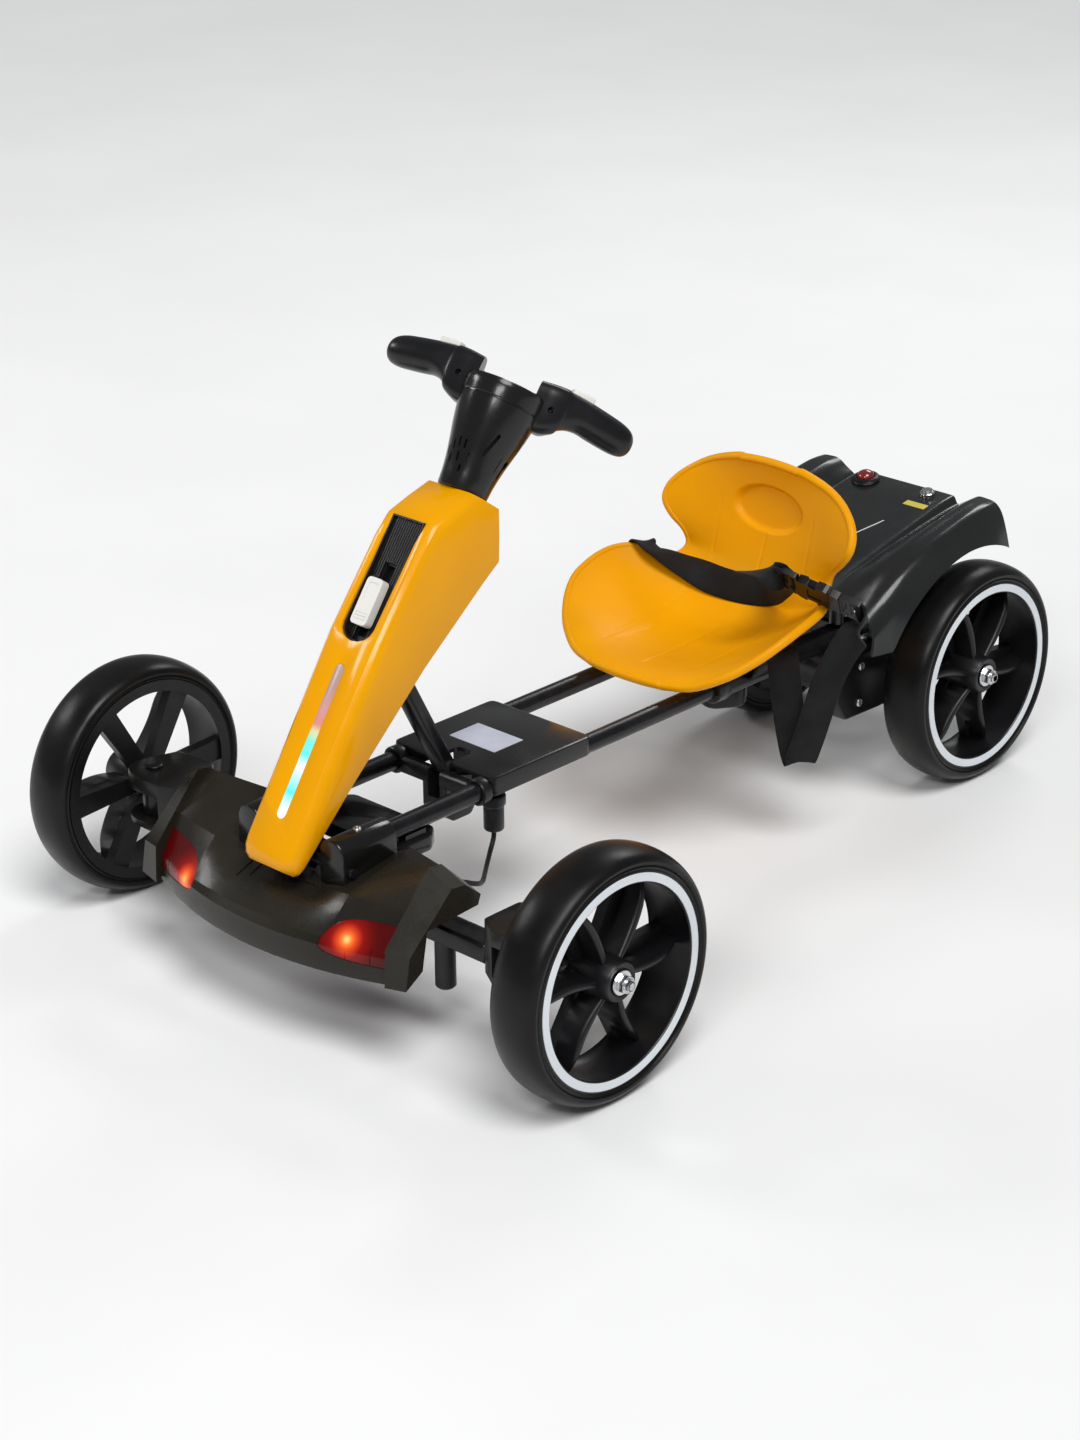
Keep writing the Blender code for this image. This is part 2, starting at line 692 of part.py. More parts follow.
def cover_ring(t, half, flat, inset=0.0, back=None):
    """Section of the cover: a flat front with broad bevels and sides running back."""
    front = cover_front(t) + inset
    rear = cover_back(t) if back is None else back
    half = half - inset
    flat = flat - inset * 0.6
    drop = 0.0115
    pts = [
        (-flat, front),
        (-(flat + half) / 2 - 0.0006, front + drop * 0.28),
        (-half, front + drop),
        (-half, rear - 0.003),
        (-half + 0.003, rear),
        (half - 0.003, rear),
        (half, rear - 0.003),
        (half, front + drop),
        ((flat + half) / 2 + 0.0006, front + drop * 0.28),
        (flat, front),
    ]
    return [col(x, n, t) for x, n in pts]


H = COLUMN_HALF
outer = [
    cover_ring(-0.0100, H - 0.0080, 0.0175, 0.0, 0.0205),
    cover_ring(-0.0060, H - 0.0030, 0.0225, 0.0, 0.0208),
    cover_ring(0.0010, H - 0.0007, 0.0255, 0.0, 0.0212),
    cover_ring(0.0100, H, 0.0265, 0.0, 0.0220),
    cover_ring(0.0450, H, 0.0268),
    cover_ring(0.0944, H, 0.0272),
    cover_ring(0.2126, H, 0.0285),
    cover_ring(0.3100, H, 0.0280),
    cover_ring(0.3340, H, 0.0270),
    cover_ring(0.3560, H - 0.0010, 0.0262),
    cover_ring(0.3770, H - 0.0030, 0.0255),
]
inner = []
W = COVER_WALL
for t, half, flat in ((-0.0030, H - 0.0030, 0.0230), (0.0100, H, 0.0265), (0.0450, H, 0.0268),
                      (0.0944, H, 0.0272), (0.2126, H, 0.0285), (0.3100, H, 0.0280),
                      (0.3340, H, 0.0270), (0.3560, H - 0.0010, 0.0262), (0.3742, H - 0.0028, 0.0256)):
    inner.append(cover_ring(t, half, flat, W, cover_back(t) + 0.03))
cover = node("column_cover", loft(outer), "yellow_gloss", PIVOT, sharp=28)
cut(cover, loft(inner))


def slot_outline(grow):
    """Slot in the column's face: rounded below, square above, as (x, t)."""
    half = 0.0205 + grow
    low = 0.2080 - grow
    pts = []
    for k in range(9):
        a = math.pi + math.pi * k / 8
        pts.append((half * math.cos(a), low + half * 0.75 * (1 + math.sin(a))))
    pts += [(half, 0.3330 + grow), (-half, 0.3330 + grow)]
    return pts


def xt(x, t, n):
    return col(x, n, t)


cut(cover, prism(slot_outline(0.0), -0.03, 0.0185, xt))

# The lower front plane of the cover, used for the light strip
TILT = math.atan2(0.0080, 0.2066)
STRIP_LOW = 0.0340
STRIP_HIGH = 0.1850
STRIP_HALF = 0.0053


def strip_place(x, t, n):
    return col(x, n - (t - 0.006) * math.tan(TILT), t)


def strip_outline(grow):
    r = STRIP_HALF + grow
    pts = []
    for k in range(7):
        a = math.pi + math.pi * k / 6
        pts.append((r * math.cos(a), STRIP_LOW + STRIP_HALF + r * math.sin(a)))
    for k in range(7):
        a = math.pi * k / 6
        pts.append((r * math.cos(a), STRIP_HIGH - STRIP_HALF + r * math.sin(a)))
    return pts


cut(cover, prism(strip_outline(PLAY), -0.02, 0.008, strip_place))
node("light_strip", prism(strip_outline(0.0), -0.0004, 0.0045, strip_place), "light_diffuser",
     PIVOT, sharp=40)
SHAFT_R = 0.008
cut(cover, rod(SHAFT_R + 0.0015, 0.36, 0.40, lambda a, b, h: col(a, HEAD_N + b, h), 20))

# Column spine with its slotted channel, cut level at its top
SPINE_TOP = 0.3730
SPINE_OVER = 0.0010


def spine_ring(t, front, rear):
    half = 0.0190
    wall = 0.0040
    pts = [(-half, front), (half, front), (half, rear), (half - wall, rear),
           (half - wall, front + wall), (wall - half, front + wall), (wall - half, rear),
           (-half, rear)]
    return [col(x, n, t) for x, n in pts]


spine = node("column_spine", loft([
    spine_ring(0.0045, 0.0105, 0.0500),
    spine_ring(0.0260, 0.0105, 0.0500),
    spine_ring(0.0500, 0.0105, 0.0300),
    spine_ring(0.1000, 0.0130, 0.0370),
    spine_ring(0.2020, 0.0195, 0.0580),
    spine_ring(SPINE_TOP + SPINE_OVER, 0.0195, 0.0630 + SPINE_OVER * 0.0050 / 0.1710),
]), "black_paint", PIVOT, sharp=40)
add(spine, box(-0.0170, 0.0170, 0.0205, 0.0625, 0.3560, SPINE_TOP + 2 * SPINE_OVER, col))
cut(spine, box(-0.05, 0.05, -0.02, 0.09, SPINE_TOP, 0.40, col))
cut(spine, prism([(-0.020, 0.3760), (0.0345, 0.3760), (0.0050, 0.3356), (-0.020, 0.3356)],
                 -0.03, 0.03, nt))
cut(spine, rod(0.005 + PLAY, -0.05, 0.05, at(0, PIVOT.y, PIVOT.z, "x"), 12))
cut(spine, rod(SHAFT_R + PLAY, 0.34, 0.40, lambda a, b, h: col(a, HEAD_N + b, h), 20))
CHANNEL_LOW = STRUT_T - 0.0060
CHANNEL_HIGH = 0.3380
channel = []
for k in range(7):
    a = math.pi + math.pi * k / 6
    channel.append((STRUT_N + 0.0056 * math.cos(a), CHANNEL_LOW + 0.0004 + 0.0056 * (1 + math.sin(a))))
for k in range(7):
    a = math.pi * k / 6
    channel.append((STRUT_N + 0.0056 * math.cos(a), CHANNEL_HIGH + 0.0056 * (math.sin(a) - 1)))
cut(spine, prism(channel, -0.03, 0.03, nt))

# Slot insert and lock slider
insert = node("slot_insert", prism(slot_outline(-PLAY), -0.0030, 0.0192, xt), "black_plastic",
              PIVOT, sharp=35)
WELL_FLOOR = 0.0068
cut(insert, prism(rounded([(-0.0165, 0.2130), (0.0165, 0.2130), (0.0165, 0.2850), (-0.0165, 0.2850)],
                          0.0060, 3), -0.02, WELL_FLOOR, xt))
slider_outline = rounded([(-0.0100, 0.2240), (0.0100, 0.2240), (0.0100, 0.2700), (-0.0100, 0.2700)],
                         0.0040, 3)
node("lock_slider", bevelled(prism(slider_outline, -0.0105, WELL_FLOOR - PLAY, xt), 0.0012, 1, 60),
     "white_plastic", col(0, 0, 0.247), sharp=40)

# Head, panel and steering shaft
def head_axis(a, b, h):
    return head(a, b, h)


def head_profile(t):
    stops = ((HEAD_BOTTOM, 0.0245), (0.392, 0.0256), (0.412, 0.0288), (0.435, 0.0340),
             (0.455, 0.0378), (0.470, 0.0396), (0.481, HEAD_R), (HEAD_TOP, 0.0388))
    return blend(stops, t)


def head_solid(top):
    stops = [HEAD_BOTTOM, 0.392, 0.412, 0.435, 0.455, 0.470, 0.481, top]
    rings = []
    for t in stops:
        r = head_profile(min(t, HEAD_TOP))
        if t == HEAD_BOTTOM:
            rings.append([head_axis((r - 0.001) * math.cos(math.pi * (k + 0.5) / 16),
                                    (r - 0.001) * math.sin(math.pi * (k + 0.5) / 16), t)
                          for k in range(32)])
            t = t + 0.001
        rings.append([head_axis(r * math.cos(math.pi * (k + 0.5) / 16),
                                r * math.sin(math.pi * (k + 0.5) / 16), t) for k in range(32)])
    return loft(rings)


HEAD_PIVOT = col(0, HEAD_N, 0.43)
SPLIT = 0.0170
body = node("head_body", head_solid(HEAD_TOP), "dark_gloss", HEAD_PIVOT, sharp=35)
cut(body, box(-0.06, 0.06, SPLIT, 0.06, 0.36, 0.50, head))
cut(body, rod(SHAFT_R + PLAY, 0.37, 0.462, head_axis, 20))
cut(body, prism(rounded([(-0.0030, 0.418), (0.0030, 0.418), (0.0030, 0.447), (-0.0030, 0.447)],
                        0.0028, 3), 0.020, 0.06,
                lambda u, v, w: head(math.cos(-0.55) * w - math.sin(-0.55) * u,
                                     math.sin(-0.55) * w + math.cos(-0.55) * u, v)))
cut(body, rod(0.0036, 0.020, 0.06, lambda a, b, h: head(h * math.cos(-0.02) - b * math.sin(-0.02),
                                                       h * math.sin(-0.02) + b * math.cos(-0.02),
                                                       0.420 + a), 12))
panel = node("head_panel", head_solid(HEAD_TOP + 0.0040), "yellow_gloss", HEAD_PIVOT, sharp=35)
cut(panel, box(-0.06, 0.06, -0.06, SPLIT + PLAY, 0.36, HEAD_TOP + PLAY, head))
rim_cut = lathe([(0.0345, HEAD_TOP + PLAY), (0.07, HEAD_TOP + PLAY), (0.07, 0.51), (0.0345, 0.51)],
                head_axis, 28)
cut(panel, rim_cut)
node("steering_shaft", rod(SHAFT_R, 0.3500, 0.4600, lambda a, b, h: col(a, HEAD_N + b, h), 20, 0.001),
     "zinc_steel", HEAD_PIVOT)

# Grips and thumb buttons
GRIP_T = 0.492
GRIP_N = 0.010
GRIP_SWEEP = 0.436
GRIP_DROOP = 0.104
BUTTON_X = 0.0665
for side_name, sx in (("left", 1), ("right", -1)):
    rings = []
    stops = (
        (0.0404, 0.0165, 0.0250, -0.0120),
        (0.0450, 0.0172, 0.0245, -0.0100),
        (0.0520, 0.0172, 0.0215, -0.0060),
        (0.0620, GRIP_R, 0.0175, -0.0015),
        (0.0720, GRIP_R, GRIP_R, 0.0),
        (0.0960, GRIP_R, GRIP_R, 0.0),
        (0.1100, 0.0158, 0.0158, 0.0),
        (0.1175, 0.0130, 0.0130, 0.0),
        (0.1215, 0.0085, 0.0085, 0.0),
        (GRIP_TIP, 0.0035, 0.0035, 0.0),
    )
    for x, deep, tall, shift in stops:
        n = GRIP_N + GRIP_SWEEP * (x - 0.045)
        t = GRIP_T - GRIP_DROOP * (x - 0.045) + shift
        lean = math.atan(GRIP_SWEEP) * min(1.0, (x - 0.0404) / 0.012)
        ring = []
        for k in range(16):
            a = 2 * math.pi * (k + 0.5) / 16
            off = deep * math.cos(a)
            ring.append(head(sx * (x - off * math.sin(lean)), n + off * math.cos(lean),
                             t + tall * math.sin(a)))
        rings.append(ring)
    grip = node(f"grip_{side_name}", loft(rings), "black_plastic", HEAD_PIVOT, sharp=50)
    bx = BUTTON_X
    bn = GRIP_N + GRIP_SWEEP * (bx - 0.045)
    bt = GRIP_T - GRIP_DROOP * (bx - 0.045)

    def button_place(u, v, w, sx=sx, bn=bn, bt=bt):
        c = math.cos(math.atan(GRIP_SWEEP))
        s = math.sin(math.atan(GRIP_SWEEP))
        return head(sx * (BUTTON_X + c * u - s * v), bn + s * u + c * v, bt + w)

    pocket = rounded([(-0.0118, -0.0062), (0.0118, -0.0062), (0.0118, 0.0062), (-0.0118, 0.0062)],
                     0.0025, 2)
    key = rounded([(-0.0115, -0.0059), (0.0115, -0.0059), (0.0115, 0.0059), (-0.0115, 0.0059)],
                  0.0022, 2)
    cut(grip, prism(pocket, 0.0098, 0.04, button_place))
    node(f"thumb_button_{side_name}", bevelled(prism(key, 0.0122, 0.0205, button_place), 0.0010, 2, 60),
         "white_plastic", button_place(0, 0, 0.015), sharp=40)

# Nose shell
def lip_y(x):
    return LIP_Y + 1.353 * x * x


NT = NOSE_TOP


def nose_section(x, tall):
    """Outer line from the lip's lower edge to the rear edge, at x, as (y, z)."""
    front = lip_y(x)
    if tall:
        return [(front + 0.001, -0.030), (front, -0.024), (front, -0.004),
                (front + 0.0040, 0.0020),
                (front * 0.5 - 0.0270, 0.0340), (-0.0525, NT), (-0.0225, NT - 0.0058)]
    return [(front + 0.001, -0.030), (front, -0.024), (front, -0.004), (front + 0.0060, 0.0030),
            (-0.1080, 0.0140), (-0.0800, 0.0252), (-0.0100, 0.0252)]


def inner_line(outer_pts, thick):
    """The line a wall's thickness inside the outer one."""
    made = []
    for i, p in enumerate(outer_pts):
        a = Vector(outer_pts[max(i - 1, 0)])
        b = Vector(outer_pts[min(i + 1, len(outer_pts) - 1)])
        d = (b - a).normalized()
        made.append((p[0] + d[1] * thick, p[1] - d[0] * thick))
    return made


nose_rings = []
for x, tall in ((-0.160, True), (-0.145, True), (-0.120, True), (-0.100, True), (-0.084, True),
                (-0.0755, False), (-0.040, False), (0.0, False), (0.040, False), (0.0755, False),
                (0.084, True), (0.100, True), (0.120, True), (0.145, True), (0.160, True)):
    line = nose_section(x, tall)
    inside = inner_line(line, SHELL_T)
    nose_rings.append([Vector((x, y, z)) for y, z in line + inside[::-1]])
nose = node("nose_shell", loft(nose_rings), "dark_gloss", sharp=28)
WING = [(-0.108, 0.008), (-0.056, NT + 0.005), (-0.020, NT - 0.006), (-0.008, 0.033),
        (-0.013, 0.025), (-0.082, 0.024), (-0.083, -0.015), (-0.110, -0.029)]
WING_SMALL = [(-0.104, 0.008), (-0.054, NT + 0.001), (-0.0215, NT - 0.009), (-0.0115, 0.033),
              (-0.0150, 0.029), (-0.0785, 0.0275), (-0.0860, -0.013), (-0.107, -0.025)]
for sx in (-1, 1):
    rings = []
    for x, shape in ((WING_IN, WING), (NOSE_HALF - 0.0060, WING), (NOSE_HALF, WING_SMALL)):
        rings.append([Vector((sx * x, y, z)) for y, z in shape])
    add(nose, loft(rings))
    add(nose, box(sx * 0.030 - 0.004, sx * 0.030 + 0.004, KINGPIN_Y - 0.013, KINGPIN_Y + 0.0095,
                  0.001 + PLAY, 0.0240))


def lens_face(x, z):
    """Depth of the nose's front at the lens."""
    front = lip_y(x)
    if z <= -0.004:
        return front
    knee = front + 0.0040
    mid = front * 0.5 - 0.0270
    if z <= 0.002:
        return front + (z + 0.004) / 0.006 * 0.0040
    return knee + (mid - knee) * (z - 0.002) / 0.032


LENS = ((0.0860, -0.0060, 0.0020), (0.0930, -0.0095, 0.0120), (0.1080, -0.0120, 0.0190),
        (0.1320, -0.0135, 0.0215), (0.1550, -0.0140, 0.0215))


def lens_loft(sx, grow, out, deep):
    rings = []
    last = len(LENS) - 1
    for i, (x, low, high) in enumerate(LENS):
        x = x - grow if i == 0 else x
        x = x + grow if i == last else x
        low = low - grow
        high = high + grow
        ring = []
        heights = [low, -0.004, 0.002, high]
        if high < 0.0070:
            heights = [low, low + (high - low) * 0.33, low + (high - low) * 0.66, high]
        for z in heights:
            ring.append(Vector((sx * x, lens_face(x, z) - out, z)))
        for z in heights[::-1]:
            ring.append(Vector((sx * x, lens_face(x, z) + deep, z)))
        rings.append(ring)
    return loft(rings)


for side_name, sx in (("left", 1), ("right", -1)):
    cut(nose, lens_loft(sx, PLAY, 0.02, 0.0100))
    node(f"light_lens_{side_name}", lens_loft(sx, 0.0, -0.0008, 0.0055), "red_lens", sharp=35)

# Rear frame, axle, gearbox, battery
REAR = WHEELBASE
SLEEVE_END = REAR - 0.036
CROSS_HALF = 0.008
frame = node("rear_frame", rod(SLEEVE_R, SLEEVE_FRONT, SLEEVE_END,
                               at(RAIL_HALF, 0, RAIL_H, "y"), 16, 0.001), "black_paint",
             (0, SLEEVE_FRONT, RAIL_H))
add(frame, rod(SLEEVE_R, SLEEVE_FRONT, SLEEVE_END, at(-RAIL_HALF, 0, RAIL_H, "y"), 16, 0.001))
for y0, y1 in ((0.515, 0.545), (0.655, 0.675)):
    add(frame, box(-RAIL_HALF, RAIL_HALF, y0, y1, RAIL_H - CROSS_HALF, RAIL_H + CROSS_HALF))
for sx in (-1, 1):
    add(frame, rod(SLEEVE_R + 0.0022, SLEEVE_FRONT - 0.004, SLEEVE_FRONT + 0.014,
                   at(sx * RAIL_HALF, 0, RAIL_H, "y"), 16, 0.0012))
    leg = [(REAR - 0.072, RAIL_H + 0.006), (REAR - 0.040, RAIL_H + 0.006), (REAR + 0.016, 0.022)]
    for k in range(7):
        a = 0.9 - math.pi * 1.2 * k / 6
        leg.append((REAR + 0.018 * math.cos(a), 0.018 * math.sin(a)))
    leg += [(REAR - 0.060, 0.030)]
    x0, x1 = sorted((sx * (RAIL_HALF - 0.0070), sx * (RAIL_HALF - 0.0010)))
    add(frame, prism(leg, x0, x1, yz))
for sx in (-1, 1):
    cut(frame, rod(RAIL_R + PLAY, SLEEVE_FRONT - 0.02, 0.662,
                   at(sx * RAIL_HALF, 0, RAIL_H, "y"), 16))
REAR_MID_R = 0.008
cut(frame, rod(REAR_MID_R + PLAY, -0.08, 0.08, at(0, REAR, 0, "x"), 16))
cut(frame, rod(0.0050 + PLAY, 0.0, 0.10, at(0, 0.530, 0, "z"), 16))

half_mid = REAR_HALF + HUB_IN - TURN_PLAY
half_end = REAR_HALF + HUB_OUT + 0.0125
axle_rings = []
for x, r in ((-half_end, AXLE_R - 0.0008), (-half_end + 0.0008, AXLE_R), (-half_mid, AXLE_R),
             (-half_mid, REAR_MID_R), (half_mid, REAR_MID_R), (half_mid, AXLE_R),
             (half_end - 0.0008, AXLE_R), (half_end, AXLE_R - 0.0008)):
    axle_rings.append([Vector((x, REAR + r * math.cos(math.pi * (k + 0.5) / 10),
                               r * math.sin(math.pi * (k + 0.5) / 10))) for k in range(20)])
node("rear_axle", loft(axle_rings), "zinc_steel", (0, REAR, 0))

case = rounded([(0.618, -0.006), (0.632, -0.030), (0.690, -0.032), (REAR, -0.030), (REAR + 0.028, -0.012),
                (REAR + 0.028, 0.014), (REAR, 0.030), (0.690, 0.040), (0.632, 0.040), (0.618, 0.022)],
               0.010, 2)
gearbox = node("gearbox", bevelled(prism(case, 0.0580, 0.0850, yz), 0.002, 1, 50), "black_plastic",
               sharp=40)
add(gearbox, rod(0.0255, -0.030, 0.0600, at(0, 0.668, 0.004, "x"), 20, 0.002))
cut(gearbox, rod(REAR_MID_R + PLAY, -0.08, 0.10, at(0, REAR, 0, "x"), 16))
node("battery", bevelled(box(-0.044, 0.044, 0.657, REAR + 0.008, RAIL_H + CROSS_HALF + PLAY, RAIL_H + 0.0520),
                         0.003, 1), "black_matte")

# Seat shell
SEAT = (
    ((0.3765, 0.0800), (0.050, 0.3800, 0.0795)),
    ((0.3840, 0.0830), (0.080, 0.3890, 0.0850)),
    ((0.3980, 0.0858), (0.108, 0.4080, 0.0990)),
    ((0.4200, 0.0868), (0.128, 0.4330, 0.1160)),
    ((0.4450, 0.0875), (0.1375, 0.4560, 0.1290)),
    ((0.4720, 0.0882), (0.1400, 0.4800, 0.1370)),
    ((0.5000, 0.0895), (0.1395, 0.5000, 0.1415)),
    ((0.5220, 0.0915), (0.1360, 0.5170, 0.1435)),
    ((0.5420, 0.0960), (0.1270, 0.5330, 0.1430)),
    ((0.5600, 0.1050), (0.1120, 0.5500, 0.1370)),
    ((0.5740, 0.1180), (0.0985, 0.5680, 0.1310)),
    ((0.5840, 0.1325), (0.0930, 0.5810, 0.1390)),
    ((0.5920, 0.1500), (0.0980, 0.5810, 0.1540)),
    ((0.5980, 0.1680), (0.1120, 0.5770, 0.1690)),
    ((0.6020, 0.1840), (0.1220, 0.5770, 0.1840)),
    ((0.6040, 0.1990), (0.1215, 0.5830, 0.1980)),
    ((0.6045, 0.2120), (0.1120, 0.5910, 0.2110)),
    ((0.6040, 0.2240), (0.0960, 0.5980, 0.2230)),
    ((0.6030, 0.2350), (0.0740, 0.6010, 0.2335)),
    ((0.6015, 0.2450), (0.0420, 0.6010, 0.2420)),
)
SEAT_V = (-1.0, -0.93, -0.80, -0.60, -0.38, -0.16, 0.0, 0.16, 0.38, 0.60, 0.80, 0.93, 1.0)
seat_points = []
for (cy, cz), (w, ry, rz) in SEAT:
    row = []
    for v in SEAT_V:
        f = abs(v) ** 2.1
        row.append(Vector((SEAT_SCALE * w * v, cy + (ry - cy) * f, cz + (rz - cz) * f)))
    seat_points.append(row)
rows = len(seat_points)
cols = len(SEAT_V)
low_points = []
for i in range(rows):
    row = []
    for j in range(cols):
        du = seat_points[min(i + 1, rows - 1)][j] - seat_points[max(i - 1, 0)][j]
        dv = seat_points[i][min(j + 1, cols - 1)] - seat_points[i][max(j - 1, 0)]
        out = du.cross(dv).normalized()
        thick = SEAT_T
        if abs(SEAT_V[j]) > 0.9 or i < 1 or i > rows - 2:
            thick = SEAT_T + 0.0030
        if abs(SEAT_V[j]) < 0.5 and i > 11:
            thick = SEAT_T + 0.0010
        row.append(seat_points[i][j] + out * thick)
    low_points.append(row)
points = [p for row in seat_points for p in row] + [p for row in low_points for p in row]
faces = []
base = rows * cols
for i in range(rows - 1):
    for j in range(cols - 1):
        a = i * cols + j
        faces.append((a, a + 1, a + cols + 1, a + cols))
        faces.append((base + a, base + a + cols, base + a + cols + 1, base + a + 1))
edge_loop = [j for j in range(cols)]
edge_loop += [i * cols + cols - 1 for i in range(1, rows)]
edge_loop += [(rows - 1) * cols + j for j in range(cols - 2, -1, -1)]
edge_loop += [i * cols for i in range(rows - 2, 0, -1)]
for k in range(len(edge_loop)):
    a = edge_loop[k]
    b = edge_loop[(k + 1) % len(edge_loop)]
    faces.append((a, b, base + b, base + a))
seat = node("seat_shell", from_faces(points, faces), "yellow_gloss", sharp=55)
seat_floor = 0.0892
for sx in (-1, 1):
    add(seat, box(sx * RAIL_HALF - 0.014, sx * RAIL_HALF + 0.014, 0.468, 0.535,
                  RAIL_H + SLEEVE_R + PLAY, seat_floor + 0.0020))
DIMPLE_C = Vector((0, 0.6020, 0.1950))
dimple_n = Vector((0, -0.995, 0.10)).normalized()
dimple_u = Vector((0, 0.10, 0.995)).normalized()
rings = []
for scale, deep in ((1.0, 0.010), (1.0, 0.0004), (0.80, -0.0040)):
    rings.append([DIMPLE_C + SIDE * (0.036 * scale * math.cos(math.pi * (k + 0.5) / 12))
                  + dimple_u * (0.024 * scale * math.sin(math.pi * (k + 0.5) / 12))
                  + dimple_n * deep for k in range(24)])
cut(seat, loft(rings))

# Rear shell, its two posts standing on the sleeves ahead of the axle
POST_BACK = 0.1246


def arch(y):
    reach = WHEEL_R + ARCH_GAP
    gap = abs(y - REAR)
    return math.sqrt(max(reach * reach - gap * gap, 0.0))


SHELL = (
    (0.622, 0.1205, 0.1185, 0.1160, 0.1020, 0.0800, 0.0580, 0.1260),
    (0.645, 0.1250, 0.1230, 0.1240, 0.1150, 0.0950, 0.0575, 0.1320),
    (0.680, 0.1320, 0.1295, 0.1360, 0.1350, 0.1210, 0.0, 0.1375),
    (0.720, 0.1405, 0.1375, 0.1460, 0.1500, 0.1420, 0.0, 0.1400),
    (0.7746, 0.1517, 0.1470, 0.1560, 0.1620, 0.1540, 0.0, 0.1400),
    (0.815, 0.1600, 0.1530, 0.1620, 0.1690, 0.1600, 0.0, 0.1400),
    (0.838, 0.1630, 0.1550, 0.1630, 0.1700, 0.1590, 0.0, 0.1390),
)
shell_rings = []
for y, deck, groove, rise, hump, fall, edge, half in SHELL:
    y = y + REAR - 0.7746
    low = edge if edge else max(arch(y), 0.05)
    low = min(low, fall - 0.008)
    side_pts = [(0.0, deck), (0.030, deck), (0.058, deck - 0.0005), (0.069, groove),
                (0.084, rise), (0.106, hump), (0.127, fall), (half, low)]
    outer_half = side_pts
    inner_half = [(x, z - SHELL_T) for x, z in side_pts[:-1]]
    inner_half.append((half - SHELL_T, low))
    inner_half[-2] = (0.127 - 0.0022, fall - 0.0026)
    right = [Vector((-x, y, z)) for x, z in outer_half[:0:-1]]
    left = [Vector((x, y, z)) for x, z in outer_half]
    back_left = [Vector((x, y, z)) for x, z in inner_half[::-1]]
    back_right = [Vector((-x, y, z)) for x, z in inner_half[1:]]
    shell_rings.append(right + left + back_left + back_right)
shell = node("rear_shell", loft(shell_rings), "dark_gloss", sharp=30)
for sx in (-1, 1):
    add(shell, rod(0.0080, RAIL_H + SLEEVE_R + PLAY, 0.1270,
                   at(sx * RAIL_HALF, REAR - POST_BACK, 0, "z"), 16))


def deck_z(y):
    return blend([(a[0] + REAR - 0.7746, a[1]) for a in SHELL], y)


# Deck fittings
BUTTON_Y = REAR + 0.0450
deck_lean = math.atan(0.17)


def deck_place(x, y):
    z = deck_z(y)
    up = Vector((0, -math.sin(deck_lean), math.cos(deck_lean)))
    fore = Vector((0, math.cos(deck_lean), math.sin(deck_lean)))
    centre = Vector((x, y, z))
    return lambda a, b, h: centre + SIDE * a + fore * b + up * h


place = deck_place(-0.0420, BUTTON_Y)
cut(shell, rod(0.0115 + PLAY, -0.03, 0.03, place, 20))
bezel_profile = [(0.0098, -0.0060), (0.0115, -0.0060), (0.0115, 0.0005), (0.0155, 0.0005),
                 (0.0155, 0.0035), (0.0135, 0.0055), (0.0098, 0.0055)]
node("button_bezel", lathe(bezel_profile, place, 20), "black_plastic")
rings = []
for r, h in ((0.0095, -0.0040), (0.0095, 0.0065), (0.0085, 0.0090), (0.0062, 0.0110), (0.0030, 0.0121)):
    rings.append([place(r * math.cos(math.pi * (k + 0.5) / 10),
                        r * math.sin(math.pi * (k + 0.5) / 10), h) for k in range(20)])
RED_AT = place(0, 0, 0)
node("red_button", loft(rings), "red_plastic", RED_AT)

place = deck_place(0.0400, BUTTON_Y + 0.0030)
cut(shell, rod(0.0045 + PLAY, -0.03, 0.03, place, 16))
rings = []
for r, h in ((0.0045, -0.0080), (0.0045, 0.0005), (0.0080, 0.0005), (0.0080, 0.0050), (0.0066, 0.0072),
             (0.0030, 0.0082)):
    rings.append([place(r * math.cos(math.pi * (k + 0.5) / 9),
                        r * math.sin(math.pi * (k + 0.5) / 9), h) for k in range(18)])
node("chrome_knob", loft(rings), "chrome", place(0, 0, 0))

# Clamp knob
CLAMP = Vector((0, 0.530, 0))
lobes = []
for h, r in ((0.0030, 0.0255), (0.0055, 0.0280), (0.0230, 0.0280), (0.0260, 0.0250)):
    ring = []
    for k in range(30):
        a = 2 * math.pi * (k + 0.5) / 30
        wave = r + 0.0016 * math.cos(5 * a)
        ring.append(CLAMP + Vector((wave * math.cos(a), wave * math.sin(a), h)))
    lobes.append(ring)
clamp = node("clamp_knob", loft(lobes), "black_plastic", CLAMP, sharp=50)
add(clamp, rod(0.0110, 0.0200, RAIL_H - 0.008 - PLAY, at(0, CLAMP.y, 0, "z"), 16))
add(clamp, rod(0.0050, 0.0300, RAIL_H + 0.0060, at(0, CLAMP.y, 0, "z"), 16))

# Belt and buckle
STRAP_PLAY = 0.0004
BUCKLE_A = Vector((0.1020, 0.5110, 0.1686))
BUCKLE_B = Vector((0.1813, 0.5314, 0.1479))
buckle_along = (BUCKLE_B - BUCKLE_A).normalized()
buckle_wide = Vector((0.15, -0.62, 0.78))
buckle_wide = (buckle_wide - buckle_along * buckle_wide.dot(buckle_along)).normalized()
buckle_flat = buckle_along.cross(buckle_wide).normalized()
buckle_len = (BUCKLE_B - BUCKLE_A).length


def buckle_place(u, v, w):
    return BUCKLE_A + buckle_along * u + buckle_wide * v + buckle_flat * w


